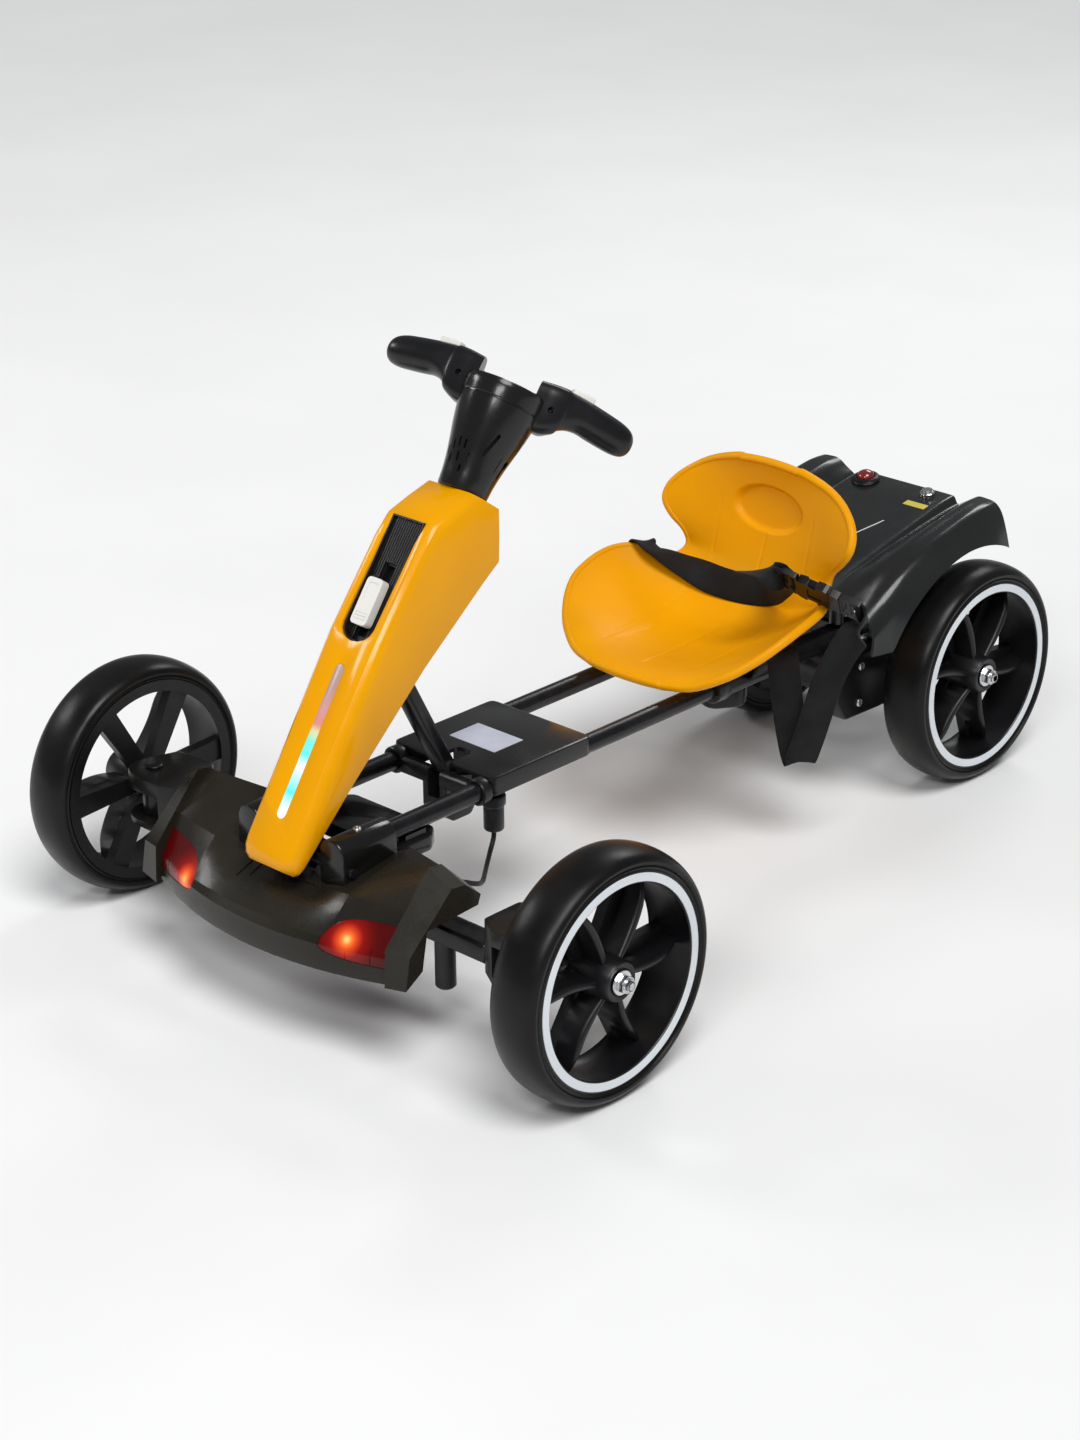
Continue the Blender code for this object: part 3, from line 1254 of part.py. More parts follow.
far_path = smooth_path([
    (-0.0700, 0.5570, RAIL_H + 0.0020),
    (-0.1000, 0.5570, 0.0720),
    (-0.1270, 0.5575, 0.1000),
    (-0.1335, 0.5570, 0.1300),
    (-0.1205, 0.5550, 0.1480),
    (-0.0980, 0.5475, 0.1430),
    (-0.0666, 0.5386, 0.1290),
    (-0.0345, 0.5333, 0.1210),
    (-0.0005, 0.5290, 0.1150),
    (0.0326, 0.5317, 0.1195),
    (0.0560, 0.5290, 0.1360),
    (0.0740, 0.5180, 0.1580),
    BUCKLE_A - buckle_along * 0.0100,
], 2)
far_path.append(BUCKLE_A - buckle_along * STRAP_PLAY)
far_across = []
for i, p in enumerate(far_path):
    f = i / (len(far_path) - 1)
    if f < 0.62:
        g = max(0.0, (f - 0.42) / 0.20)
        far_across.append(Vector((0, 1, 0.05)).lerp(Vector((0.1, 0.45, 0.85)), g))
    else:
        far_across.append(Vector((0.1, 0.45, 0.85)).lerp(buckle_wide, min(1.0, (f - 0.62) / 0.22)))
node("belt_far", ribbon(far_path, far_across, WEB_W, WEB_T), "black_webbing")

buckle = node("buckle", bevelled(prism(rounded([
    (0.0, -0.0165), (0.0110, -0.0165), (0.0180, -0.0190), (0.0440, -0.0190), (0.0520, -0.0175),
    (buckle_len, -0.0175), (buckle_len, 0.0175), (0.0520, 0.0175), (0.0440, 0.0190),
    (0.0180, 0.0190), (0.0110, 0.0165), (0.0, 0.0165)], 0.0020, 1),
    -0.0045, 0.0045, buckle_place), 0.0012, 1, 50), "black_plastic", BUCKLE_A, sharp=40)
cut(buckle, box(0.0220, 0.0300, -0.03, -0.0140, -0.02, 0.02, buckle_place))
cut(buckle, box(0.0220, 0.0300, 0.0140, 0.03, -0.02, 0.02, buckle_place))

near_path = [BUCKLE_B + buckle_along * STRAP_PLAY] + smooth_path([
    BUCKLE_B + buckle_along * 0.0080,
    (0.1860, 0.5330, 0.1290),
    (0.1760, 0.5250, 0.1120),
    (0.1620, 0.5194, 0.0794),
    (0.1500, 0.5155, 0.0335),
    (0.1390, 0.5100, -0.0100),
    (0.1280, 0.5060, -0.0200),
    (0.1200, 0.5030, 0.0005),
    (0.1175, 0.4985, 0.0461),
    (0.1150, 0.4942, 0.0880),
    (0.1100, 0.4950, 0.1000),
    (0.0990, 0.4990, 0.0960),
    (0.0850, 0.5040, 0.0740),
    (0.0712, 0.5080, RAIL_H + 0.0020),
], 2)
near_across = []
for i, p in enumerate(near_path):
    f = i / (len(near_path) - 1)
    if f < 0.7:
        g = min(1.0, max(0.0, f - 0.08) * 6.0)
        near_across.append(buckle_wide.lerp(Vector((-0.72, -0.69, 0.0)), g))
    else:
        near_across.append(Vector((-0.72, -0.69, 0.0)).lerp(Vector((0, -1, 0)), (f - 0.7) / 0.3))
node("belt_near", ribbon(near_path, near_across, WEB_W, WEB_T), "black_webbing")
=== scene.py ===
"""Studio scene of the children's electric go-kart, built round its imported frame."""

import json
from math import atan, atan2, copysign, cos, exp, pi, radians, sin, sqrt, tan

import bmesh
import bpy
from mathutils import Matrix, Vector


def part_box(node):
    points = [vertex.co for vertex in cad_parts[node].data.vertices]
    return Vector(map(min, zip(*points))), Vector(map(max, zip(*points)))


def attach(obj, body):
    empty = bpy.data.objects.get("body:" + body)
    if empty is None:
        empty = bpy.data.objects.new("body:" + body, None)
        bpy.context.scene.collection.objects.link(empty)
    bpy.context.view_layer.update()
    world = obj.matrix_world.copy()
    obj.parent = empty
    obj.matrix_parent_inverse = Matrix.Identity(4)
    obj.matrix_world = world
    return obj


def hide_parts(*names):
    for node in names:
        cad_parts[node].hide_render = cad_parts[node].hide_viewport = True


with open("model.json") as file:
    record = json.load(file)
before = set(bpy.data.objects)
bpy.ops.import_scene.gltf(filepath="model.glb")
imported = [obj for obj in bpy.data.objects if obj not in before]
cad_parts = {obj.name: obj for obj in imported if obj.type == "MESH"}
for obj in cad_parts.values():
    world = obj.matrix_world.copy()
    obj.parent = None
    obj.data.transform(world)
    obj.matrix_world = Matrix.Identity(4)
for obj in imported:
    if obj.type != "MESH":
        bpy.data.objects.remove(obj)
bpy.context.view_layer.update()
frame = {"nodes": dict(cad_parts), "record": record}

# The kart frame: the front wheels' axis is the X axis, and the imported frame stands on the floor
low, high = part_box("tyre_front_left")
WHEEL_R = (high.z - low.z) / 2
TYRE_W = high.x - low.x
FRONT_X = (high.x + low.x) / 2
KART = Vector((0, (high.y + low.y) / 2, (high.z + low.z) / 2))
low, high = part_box("tyre_rear_left")
REAR_X = (high.x + low.x) / 2
REAR_Y = (high.y + low.y) / 2 - KART.y
RAIL_HALF = 0.0556
RAIL_H = 0.056
SLEEVE_R = 0.013
COLUMN_LEAN = radians(35.7)
COLUMN_FOOT = Vector((0, -0.107, 0.052))
HEAD_N = 0.049
BAR_TURN = radians(34.3)
UP = Vector((0, sin(COLUMN_LEAN), cos(COLUMN_LEAN)))
BACK = Vector((0, cos(COLUMN_LEAN), -sin(COLUMN_LEAN)))
SIDE = Vector((1, 0, 0))


def col(x, n, t):
    """Point of the column: x across, n behind its front line, t up along it."""
    return COLUMN_FOOT + SIDE * x + BACK * n + UP * t


def head(x, n, t):
    """Point of the turned head: x along its bar, n behind its turning axis, t up the column."""
    c = cos(BAR_TURN)
    s = sin(BAR_TURN)
    return col(c * x - s * n, HEAD_N + s * x + c * n, t)

# Materials
class Shader:
    """A Principled material with short names for the nodes that build it."""

    def __init__(self, name):
        self.material = bpy.data.materials.new(name)
        self.material.use_nodes = True
        self.tree = self.material.node_tree
        self.bsdf = self.tree.nodes["Principled BSDF"]
        self.place = self.tree.nodes.new("ShaderNodeTexCoord").outputs["Object"]

    def put(self, **values):
        """Plain values of the surface's inputs, with an underscore for each space."""
        for key, value in values.items():
            self.bsdf.inputs[key.replace("_", " ")].default_value = value

    def link(self, source, socket):
        self.tree.links.new(source, socket)

    def field(self, kind, source=None, **values):
        """A node laid over the object's coordinates, or over another source."""
        made = self.tree.nodes.new(kind)
        for key, value in values.items():
            made.inputs[key].default_value = value
        self.link(source or self.place, made.inputs[0])
        return made

    def noise(self, scale, detail=3.0, rough=0.5, stretch=None):
        source = None
        if stretch:
            source = self.field("ShaderNodeMapping", Scale=stretch).outputs["Vector"]
        made = self.field("ShaderNodeTexNoise", source, Scale=scale, Detail=detail, Roughness=rough)
        return made.outputs["Fac"]

    def wave(self, scale, direction="X", profile="SIN"):
        made = self.field("ShaderNodeTexWave", Scale=scale)
        made.bands_direction = direction
        made.wave_profile = profile
        return made.outputs["Fac"]

    def measure(self, operation, vector):
        """A number measured between the coordinates and a fixed vector."""
        made = self.field("ShaderNodeVectorMath")
        made.operation = operation
        made.inputs[1].default_value = vector
        return made.outputs["Value"]

    def along(self, direction, origin):
        """Distance along a direction from an origin, in metres."""
        return self.maths("SUBTRACT", self.measure("DOT_PRODUCT", direction), float(direction.dot(origin)))

    def ramp(self, source, *stops):
        made = self.tree.nodes.new("ShaderNodeValToRGB")
        points = made.color_ramp.elements
        while len(points) < len(stops):
            points.new(0.5)
        for point, (place, colour) in zip(points, stops):
            point.position = place
            if isinstance(colour, (int, float)):
                colour = (colour, colour, colour)
            point.color = (*colour, 1)
        self.link(source, made.inputs["Fac"])
        return made.outputs["Color"]

    def feed(self, name, source, *stops):
        """A source into a named input of the surface, through a ramp where stops are given."""
        self.link(self.ramp(source, *stops) if stops else source, self.bsdf.inputs[name])

    def maths(self, operation, *values):
        made = self.tree.nodes.new("ShaderNodeMath")
        made.operation = operation
        for socket, value in zip(made.inputs, values):
            if isinstance(value, (int, float)):
                socket.default_value = value
            else:
                self.link(value, socket)
        return made.outputs["Value"]

    def mix(self, factor, source, colour):
        """A source mixed with a plain colour."""
        made = self.tree.nodes.new("ShaderNodeMix")
        made.data_type = "RGBA"
        self.link(factor, made.inputs["Factor"])
        self.link(source, made.inputs["A"])
        made.inputs["B"].default_value = (*colour, 1)
        return made.outputs["Result"]

    def bump(self, *heights):
        """Bump from (source, strength, distance) in turn."""
        normal = None
        for source, strength, distance in heights:
            made = self.tree.nodes.new("ShaderNodeBump")
            made.inputs["Strength"].default_value = strength
            made.inputs["Distance"].default_value = distance
            self.link(source, made.inputs["Height"])
            if normal:
                self.link(normal, made.inputs["Normal"])
            normal = made.outputs["Normal"]
        self.feed("Normal", normal)


def moulded(name, dark, light, rough, spread, grain=0.00006, coat=0.0, wave=0.0006, shine=0.35):
    """Moulded plastic: cloudy colour, uneven gloss, fine grain and a slow waviness."""
    made = Shader(name)
    made.feed("Base Color", made.noise(9.0), (0.3, dark), (0.7, light))
    made.feed("Roughness", made.noise(38.0, 5.0, 0.6), (0.3, rough), (0.75, rough + spread))
    made.put(Coat_Weight=coat, Coat_Roughness=0.06, IOR=1.5, Specular_IOR_Level=shine)
    made.bump((made.noise(14.0, 1.0), 0.35, wave), (made.noise(900.0, 2.0), 0.25, grain))
    return made.material


def painted(name, dark, light, rough):
    """Powder coat: orange peel and worn, lighter high spots."""
    made = Shader(name)
    made.feed("Base Color", made.noise(60.0, 4.0), (0.35, dark), (0.75, light))
    made.feed("Roughness", made.noise(25.0, 4.0), (0.3, rough), (0.7, rough + 0.14))
    made.put(Metallic=0.1, IOR=1.5, Specular_IOR_Level=0.4)
    made.bump((made.noise(420.0, 2.0), 0.35, 0.00012))
    return made.material


def plated(name, colour, rough, stretch=None):
    """Bright plated metal with fine brushed scratches."""
    made = Shader(name)
    scratch = made.noise(500.0, 3.0, 0.6, stretch)
    made.feed("Base Color", scratch, (0.3, tuple(c * 0.72 for c in colour)), (0.7, colour))
    made.feed("Roughness", scratch, (0.3, rough), (0.7, rough + 0.16))
    made.put(Metallic=1.0, Anisotropic=0.3)
    made.bump((scratch, 0.15, 0.00004))
    return made.material


def tyre_material():
    """Smooth black rubber with a faint cloud of dust and uneven gloss."""
    made = Shader("tyre_rubber")
    made.feed("Base Color", made.noise(16.0, 5.0, 0.6),
              (0.3, (0.003, 0.003, 0.0034)), (0.8, (0.008, 0.0074, 0.0064)))
    made.feed("Roughness", made.noise(30.0, 5.0), (0.3, 0.26), (0.75, 0.44))
    made.put(IOR=1.42, Specular_IOR_Level=0.3)
    made.bump((made.noise(22.0, 2.0), 0.4, 0.0006), (made.noise(700.0, 2.0), 0.25, 0.00008))
    return made.material


def webbing_material():
    """Woven webbing: ribs across the strap with a finer rib along it."""
    made = Shader("black_webbing")
    weave = made.maths("MULTIPLY", made.wave(430.0, "Z", "TRI"), made.wave(330.0, "X", "TRI"))
    made.feed("Base Color", weave, (0.1, (0.0035, 0.0035, 0.004)), (0.8, (0.013, 0.013, 0.014)))
    made.feed("Roughness", made.noise(40.0), (0.3, 0.62), (0.7, 0.86))
    made.put(Sheen_Weight=0.06, Sheen_Roughness=0.4, Specular_IOR_Level=0.25)
    made.bump((weave, 0.6, 0.00035))
    return made.material


def light_strip_material():
    """Milky light strip, its colours running from white below to pink and grey above."""
    made = Shader("light_diffuser")
    low = 0.034
    high = 0.185
    t = made.maths("DIVIDE", made.along(UP, KART + col(0, 0, low)), high - low)
    t = made.maths("ADD", t, made.maths("MULTIPLY", made.maths("SUBTRACT", made.noise(60.0), 0.5), 0.03))
    colour = made.ramp(
        t, (0.0, (1.0, 1.0, 0.98)), (0.07, (0.85, 1.0, 1.0)), (0.17, (0.05, 0.9, 0.9)),
        (0.27, (0.55, 1.0, 0.98)), (0.33, (0.95, 1.0, 1.0)), (0.41, (0.1, 0.92, 0.88)),
        (0.5, (0.2, 0.95, 0.8)), (0.565, (0.95, 0.9, 0.45)), (0.61, (1.0, 0.33, 0.25)),
        (0.72, (0.95, 0.42, 0.4)), (0.83, (0.8, 0.45, 0.38)), (1.0, (0.72, 0.52, 0.42)),
    )
    made.feed("Base Color", made.mix(made.ramp(t, (0.0, 0.5), (1.0, 0.55)), colour, (0.1, 0.1, 0.1)))
    made.feed("Emission Color", colour)
    power = made.ramp(t, (0.0, 1.0), (0.45, 0.9), (0.6, 0.45), (0.85, 0.15), (1.0, 0.1))
    made.feed("Emission Strength", made.maths("MULTIPLY", power, 0.62))
    made.put(Roughness=0.3)
    return made.material


def lens_material(centre):
    """Ribbed red lens with a lamp glowing behind one spot."""
    made = Shader("red_lens")
    near = made.maths("DIVIDE", made.measure("DISTANCE", KART + centre), 0.034)
    made.feed("Base Color", near,
              (0.0, (0.5, 0.03, 0.01)), (0.5, (0.15, 0.003, 0.003)), (1.0, (0.075, 0.002, 0.002)))
    made.feed("Emission Color", near, (0.0, (1.0, 0.55, 0.16)), (0.16, (1.0, 0.2, 0.03)),
              (0.45, (0.75, 0.02, 0.005)), (1.0, (0.25, 0.0, 0.0)))
    glow = made.ramp(near, (0.0, 1.0), (0.12, 0.7), (0.24, 0.3), (0.5, 0.08), (0.8, 0.01))
    made.feed("Emission Strength", made.maths("MULTIPLY", glow, 1.9))
    made.put(Roughness=0.2, Coat_Weight=0.15, Coat_Roughness=0.05, IOR=1.45, Specular_IOR_Level=0.2)
    made.bump((made.wave(95.0), 0.25, 0.0004), (made.noise(18.0), 0.3, 0.0006))
    return made.material


def dome_material():
    made = Shader("red_dome")
    made.feed("Base Color", made.noise(50.0), (0.3, (0.13, 0.006, 0.006)), (0.7, (0.22, 0.012, 0.01)))
    made.feed("Roughness", made.noise(120.0), (0.3, 0.12), (0.7, 0.24))
    made.put(Coat_Weight=0.8, IOR=1.5)
    made.bump((made.noise(80.0), 0.2, 0.0003))
    return made.material


def label_material(name, light, dark):
    made = Shader(name)
    made.feed("Base Color", made.noise(25.0), (0.3, dark), (0.7, light))
    made.feed("Roughness", made.noise(90.0), (0.3, 0.3), (0.7, 0.5))
    made.bump((made.noise(200.0), 0.1, 0.0001))
    return made.material


YELLOW = moulded("yellow_gloss", (0.78, 0.325, 0.0), (0.85, 0.37, 0.0), 0.12, 0.1, coat=0.12, shine=0.18)
SEAT_YELLOW = moulded("seat_yellow", (0.8, 0.325, 0.0), (0.88, 0.375, 0.0), 0.34, 0.14,
                      grain=0.0001, coat=0.03, shine=0.13)
DARK = moulded("dark_gloss", (0.005, 0.005, 0.005), (0.01, 0.0095, 0.009), 0.16, 0.14, coat=0.12)
DECK = moulded("deck_gloss", (0.01, 0.012, 0.013), (0.018, 0.018, 0.017), 0.15, 0.12, coat=0.1, wave=0.0003)
SATIN = moulded("black_plastic", (0.004, 0.004, 0.005), (0.008, 0.008, 0.009), 0.3, 0.14)
FLAT = moulded("black_matte", (0.003, 0.003, 0.003), (0.007, 0.007, 0.007), 0.5, 0.2)
PAINT = painted("black_paint", (0.004, 0.004, 0.005), (0.012, 0.012, 0.014), 0.24)
NOSE = moulded("nose_gloss", (0.013, 0.011, 0.008), (0.021, 0.018, 0.013), 0.22, 0.14, coat=0.05, shine=0.24)
FORK = moulded("fork_black", (0.007, 0.0065, 0.006), (0.012, 0.011, 0.01), 0.26, 0.14)
GRIP_BLACK = moulded("grip_black", (0.004, 0.004, 0.005), (0.009, 0.009, 0.01), 0.24, 0.14, coat=0.08)
WHITE = moulded("white_plastic", (0.74, 0.73, 0.68), (0.8, 0.79, 0.75), 0.35, 0.1)
BAND = moulded("white_band", (0.66, 0.7, 0.74), (0.74, 0.78, 0.81), 0.45, 0.1)
ZINC = plated("zinc_steel", (0.78, 0.79, 0.81), 0.18, (1, 9, 9))
CHROME = plated("chrome", (0.86, 0.86, 0.88), 0.05)
TYRE = tyre_material()
WEBBING = webbing_material()
STRIP = light_strip_material()
LENS_LEFT = lens_material(Vector((0.1107, -0.1108, 0.0034)))
LENS_RIGHT = lens_material(Vector((-0.1003, -0.1173, -0.0042)))
DOME = dome_material()
LABEL = label_material("bare_silver_label", (0.56, 0.58, 0.66), (0.44, 0.46, 0.55))
YELLOW_LABEL = label_material("bare_yellow_label", (0.62, 0.5, 0.06), (0.5, 0.4, 0.05))


# Mesh helpers
def tenths(rows):
    """Nested rows of whole tenths of a millimetre, in metres."""
    return [tenths(row) if isinstance(row, tuple) else row / 10000 for row in rows]


def angles(count):
    """Equal steps of a full turn."""
    return [2 * pi * k / count for k in range(count)]


def plain(x, y, z):
    return Vector((x, y, z))


def xt(x, t, n):
    return col(x, n, t)


def add(name, data):
    obj = bpy.data.objects.new(name, data)
    bpy.context.scene.collection.objects.link(obj)
    return obj


def mesh_of(name, bm):
    """A mesh of a shape, which is used up."""
    mesh = bpy.data.meshes.new(name)
    bm.to_mesh(mesh)
    bm.free()
    return mesh


def from_faces(points, faces):
    bm = bmesh.new()
    made = [bm.verts.new(p) for p in points]
    for face in faces:
        bm.faces.new([made[i] for i in face])
    return bm


def turned_out(bm):
    bmesh.ops.recalc_face_normals(bm, faces=bm.faces)
    if bm.calc_volume(signed=True) < 0:
        bmesh.ops.reverse_faces(bm, faces=bm.faces)
    return bm


def soften(obj, width, segments, angle):
    mod = obj.modifiers.new("edges", "BEVEL")
    mod.width = width
    mod.segments = segments
    mod.limit_method = "ANGLE"
    mod.angle_limit = radians(angle)
    mod.harden_normals = True


def piece(name, bm, material, body, replaces=(), sharp=35, edge=0.0):
    """A visual piece given in kart coordinates, riding on a body, with its edges rounded by edge."""
    turned_out(bm)
    bmesh.ops.translate(bm, verts=bm.verts, vec=KART)
    mesh = mesh_of(name, bm)
    mesh.shade_smooth()
    mesh.set_sharp_from_angle(angle=radians(sharp))
    mesh.materials.append(material)
    obj = add(name, mesh)
    if replaces:
        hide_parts(*replaces)
    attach(obj, body)
    if edge:
        soften(obj, edge, 3, sharp)


def loft(rings, closed=False):
    """Skin over rings of points, which meet again or end in flat caps."""
    n = len(rings[0])
    points = [p for ring in rings for p in ring]
    faces = []
    for k in range(len(rings) if closed else len(rings) - 1):
        a = k * n
        b = ((k + 1) % len(rings)) * n
        faces += [(a + i, a + (i + 1) % n, b + (i + 1) % n, b + i) for i in range(n)]
    if not closed:
        last = (len(rings) - 1) * n
        faces.append(tuple(range(n)))
        faces.append(tuple(last + i for i in range(n)))
    return turned_out(from_faces(points, faces))


def lathe(profile, place, segments):
    """Ring turned from a closed profile (r, h)."""
    return loft([[place(r * cos(a), r * sin(a), h) for r, h in profile] for a in angles(segments)],
                closed=True)


def turned(profile, place, segments, reach=None):
    """Solid turned from an open profile (r, h), closed by flat ends, whose radius reach may vary."""
    rings = []
    for r, h in profile:
        radii = [(reach(r, h, a) if reach else r, a) for a in angles(segments)]
        rings.append([place(use * cos(a), use * sin(a), h) for use, a in radii])
    return loft(rings)


def ahead_of(line, i):
    """Difference of a point's two neighbours in a line."""
    return Vector(line[min(i + 1, len(line) - 1)]) - Vector(line[max(i - 1, 0)])


def smooth(values, per):
    """Catmull-Rom points through tuples or vectors, a number of them in each span."""
    pts = [Vector(v) for v in values]
    result = []
    for i in range(len(pts) - 1):
        p0, p1, p2, p3 = pts[max(i - 1, 0)], pts[i], pts[i + 1], pts[min(i + 2, len(pts) - 1)]
        for k in range(per):
            f = k / per
            result.append((2 * p1 + (p2 - p0) * f + (2 * p0 - 5 * p1 + 4 * p2 - p3) * f * f
                           + (3 * p1 - p0 - 3 * p2 + p3) * f ** 3) / 2)
    result.append(pts[-1])
    return result


def rounded(outline, radius, steps=6):
    result = []
    for i, corner in enumerate(outline):
        here = Vector(corner)
        before = Vector(outline[i - 1]) - here
        after = Vector(outline[(i + 1) % len(outline)]) - here
        reach = min(radius / tan(before.angle(after) / 2), before.length * 0.48, after.length * 0.48)
        a = here + before.normalized() * reach
        b = here + after.normalized() * reach
        for k in range(steps + 1):
            f = k / steps
            result.append(a * (1 - f) ** 2 + here * 2 * f * (1 - f) + b * f * f)
    return result


def rect(x0, x1, y0, y1):
    return [(x0, y0), (x1, y0), (x1, y1), (x0, y1)]


def prism(outline, low, high, place):
    n = len(outline)
    points = [place(p[0], p[1], low) for p in outline] + [place(p[0], p[1], high) for p in outline]
    faces = [tuple(range(n)), tuple(range(2 * n - 1, n - 1, -1))]
    faces += [(i, (i + 1) % n, n + (i + 1) % n, n + i) for i in range(n)]
    return turned_out(from_faces(points, faces))


def box(x0, x1, y0, y1, z0, z1, place=plain):
    """Box between two corners, given as values of a placement."""
    return prism(rect(x0, x1, y0, y1), z0, z1, place)


def slab(x0, x1, y0, y1, radius, z0, z1, place=plain):
    """Box with its four upright edges rounded."""
    return prism(rounded(rect(x0, x1, y0, y1), radius), z0, z1, place)


def joined(*meshes):
    """Several closed shapes as one mesh."""
    result = bmesh.new()
    for bm in meshes:
        mesh = mesh_of("part", bm)
        result.from_mesh(mesh)
        bpy.data.meshes.remove(mesh)
    return result


def cut(bm, *others):
    """One closed shape with others cut away in turn."""
    for other in others:
        made = []
        for source in (bm, other):
            bmesh.ops.triangulate(source, faces=[f for f in source.faces if len(f.verts) > 3])
            made.append(add("work", mesh_of("work", source)))
        mod = made[0].modifiers.new("cut", "BOOLEAN")
        mod.operation = "DIFFERENCE"
        mod.object = made[1]
        mod.solver = "EXACT"
        bpy.context.view_layer.update()
        seen = made[0].evaluated_get(bpy.context.evaluated_depsgraph_get())
        bm = bmesh.new()
        bm.from_mesh(seen.to_mesh())
        seen.to_mesh_clear()
        for obj in made:
            mesh = obj.data
            bpy.data.objects.remove(obj)
            bpy.data.meshes.remove(mesh)
    return bm


def bolt(centre, out, radius, tall):
    """Small domed screw with a cross recess, standing on a point along a direction."""
    out = Vector(out).normalized()
    side = out.orthogonal().normalized()
    wide = out.cross(side)

    def place(a, b, h):
        return Vector(centre) + side * a + wide * b + out * h

    dome = [(radius, -0.001), (radius, tall * 0.35)]
    for k in range(1, 6):
        a = pi / 2 * k / 6
        dome.append((radius * cos(a), tall * (0.35 + 0.65 * sin(a))))
    dome.append((radius * 0.12, tall))
    arm = radius * 0.55
    slot = radius * 0.11
    return cut(turned(dome, place, 32),
               *[box(-a, a, -b, b, tall * 0.45, tall * 2, place) for a, b in ((arm, slot), (slot, arm))])


def finish_nodes():
    """Gives every carried-over piece its finish, smooth round faces and small edge radii."""
    finishes = {
        "yellow_gloss": YELLOW, "dark_gloss": DARK, "black_paint": PAINT, "black_plastic": SATIN,
        "black_matte": FLAT, "tyre_rubber": TYRE, "white_plastic": WHITE, "zinc_steel": ZINC,
        "chrome": CHROME, "black_webbing": WEBBING, "red_plastic": DOME, "light_diffuser": STRIP,
        "red_lens": LENS_LEFT,
    }
    own = {"kingpin_left": SATIN, "kingpin_right": SATIN, "column_pivot_pin": SATIN, "fork_left": FORK,
           "fork_right": FORK}
    slots = {row["node"]: row["material_slot"] for row in frame["record"]["subparts"]}
    edge = {"column_cover": 0.0045, "light_strip": 0.0004, "mid_plate": 0.0, "footrest": 0.0,
            "rail_left": 0.0, "rail_right": 0.0}
    for name, obj in frame["nodes"].items():
        mesh = obj.data
        mesh.materials.clear()
        mesh.materials.append(own.get(name, finishes[slots[name]]))
        for polygon in mesh.polygons:
            polygon.material_index = 0
            polygon.use_smooth = True
        weld = obj.modifiers.new("weld", "WELD")
        weld.merge_threshold = 0.00001
        width = edge.get(name, 0.0005)
        if width:
            soften(obj, width, 2, 32)
        split = obj.modifiers.new("split", "EDGE_SPLIT")
        split.split_angle = radians(34)


finish_nodes()

# Wheels: label, place, outward side, turn of the spokes and the body that carries the nut
WHEELS = (
    ("front_left", FRONT_X, 0.0, 1, 0.5, "left_knuckle"),
    ("front_right", -FRONT_X, 0.0, -1, 0.5, "right_knuckle"),
    ("rear_left", REAR_X, REAR_Y, 1, 0.36, "rear_unit"),
    ("rear_right", -REAR_X, REAR_Y, -1, 0.36, "rear_unit"),
)
RIM_EDGE = 0.103
BEAD = 0.108
BAND_IN = 0.0925
BAND_OUT = 0.1008
HUB_OUT = 0.0245
HUB_IN = -0.026
SPOKES = 6
SPOKE_IN = 0.0165
SPOKE_OUT = 0.0952
SPOKE_BASE = -0.011


def spoke(centre, sign, turn):
    rings = []
    for j in range(13):
        s = j / 12
        r = SPOKE_IN + (SPOKE_OUT - SPOKE_IN) * s
        bow = 0.0062 * sin(pi * s)
        web = 0.0085 + 0.003 * s
        rib = 0.0026 + 0.0016 * sin(pi * s)
        top = 0.015 - 0.0035 * s - 0.012 * max(0.0, s - 0.72) ** 1.2 * 3.0
        section = [(-web, -0.022), (web, -0.022), (web, SPOKE_BASE),
                   (bow + rib + 0.001, SPOKE_BASE + 0.001)]
        for m in range(7):
            a = pi * m / 6
            section.append((bow + rib * cos(a), top - rib + rib * sin(a)))
        section += [(bow - rib - 0.001, SPOKE_BASE + 0.001), (-web, SPOKE_BASE)]
        rings.append([centre + turn @ Vector((sign * x, c, r)) for c, x in section])
    return loft(rings)


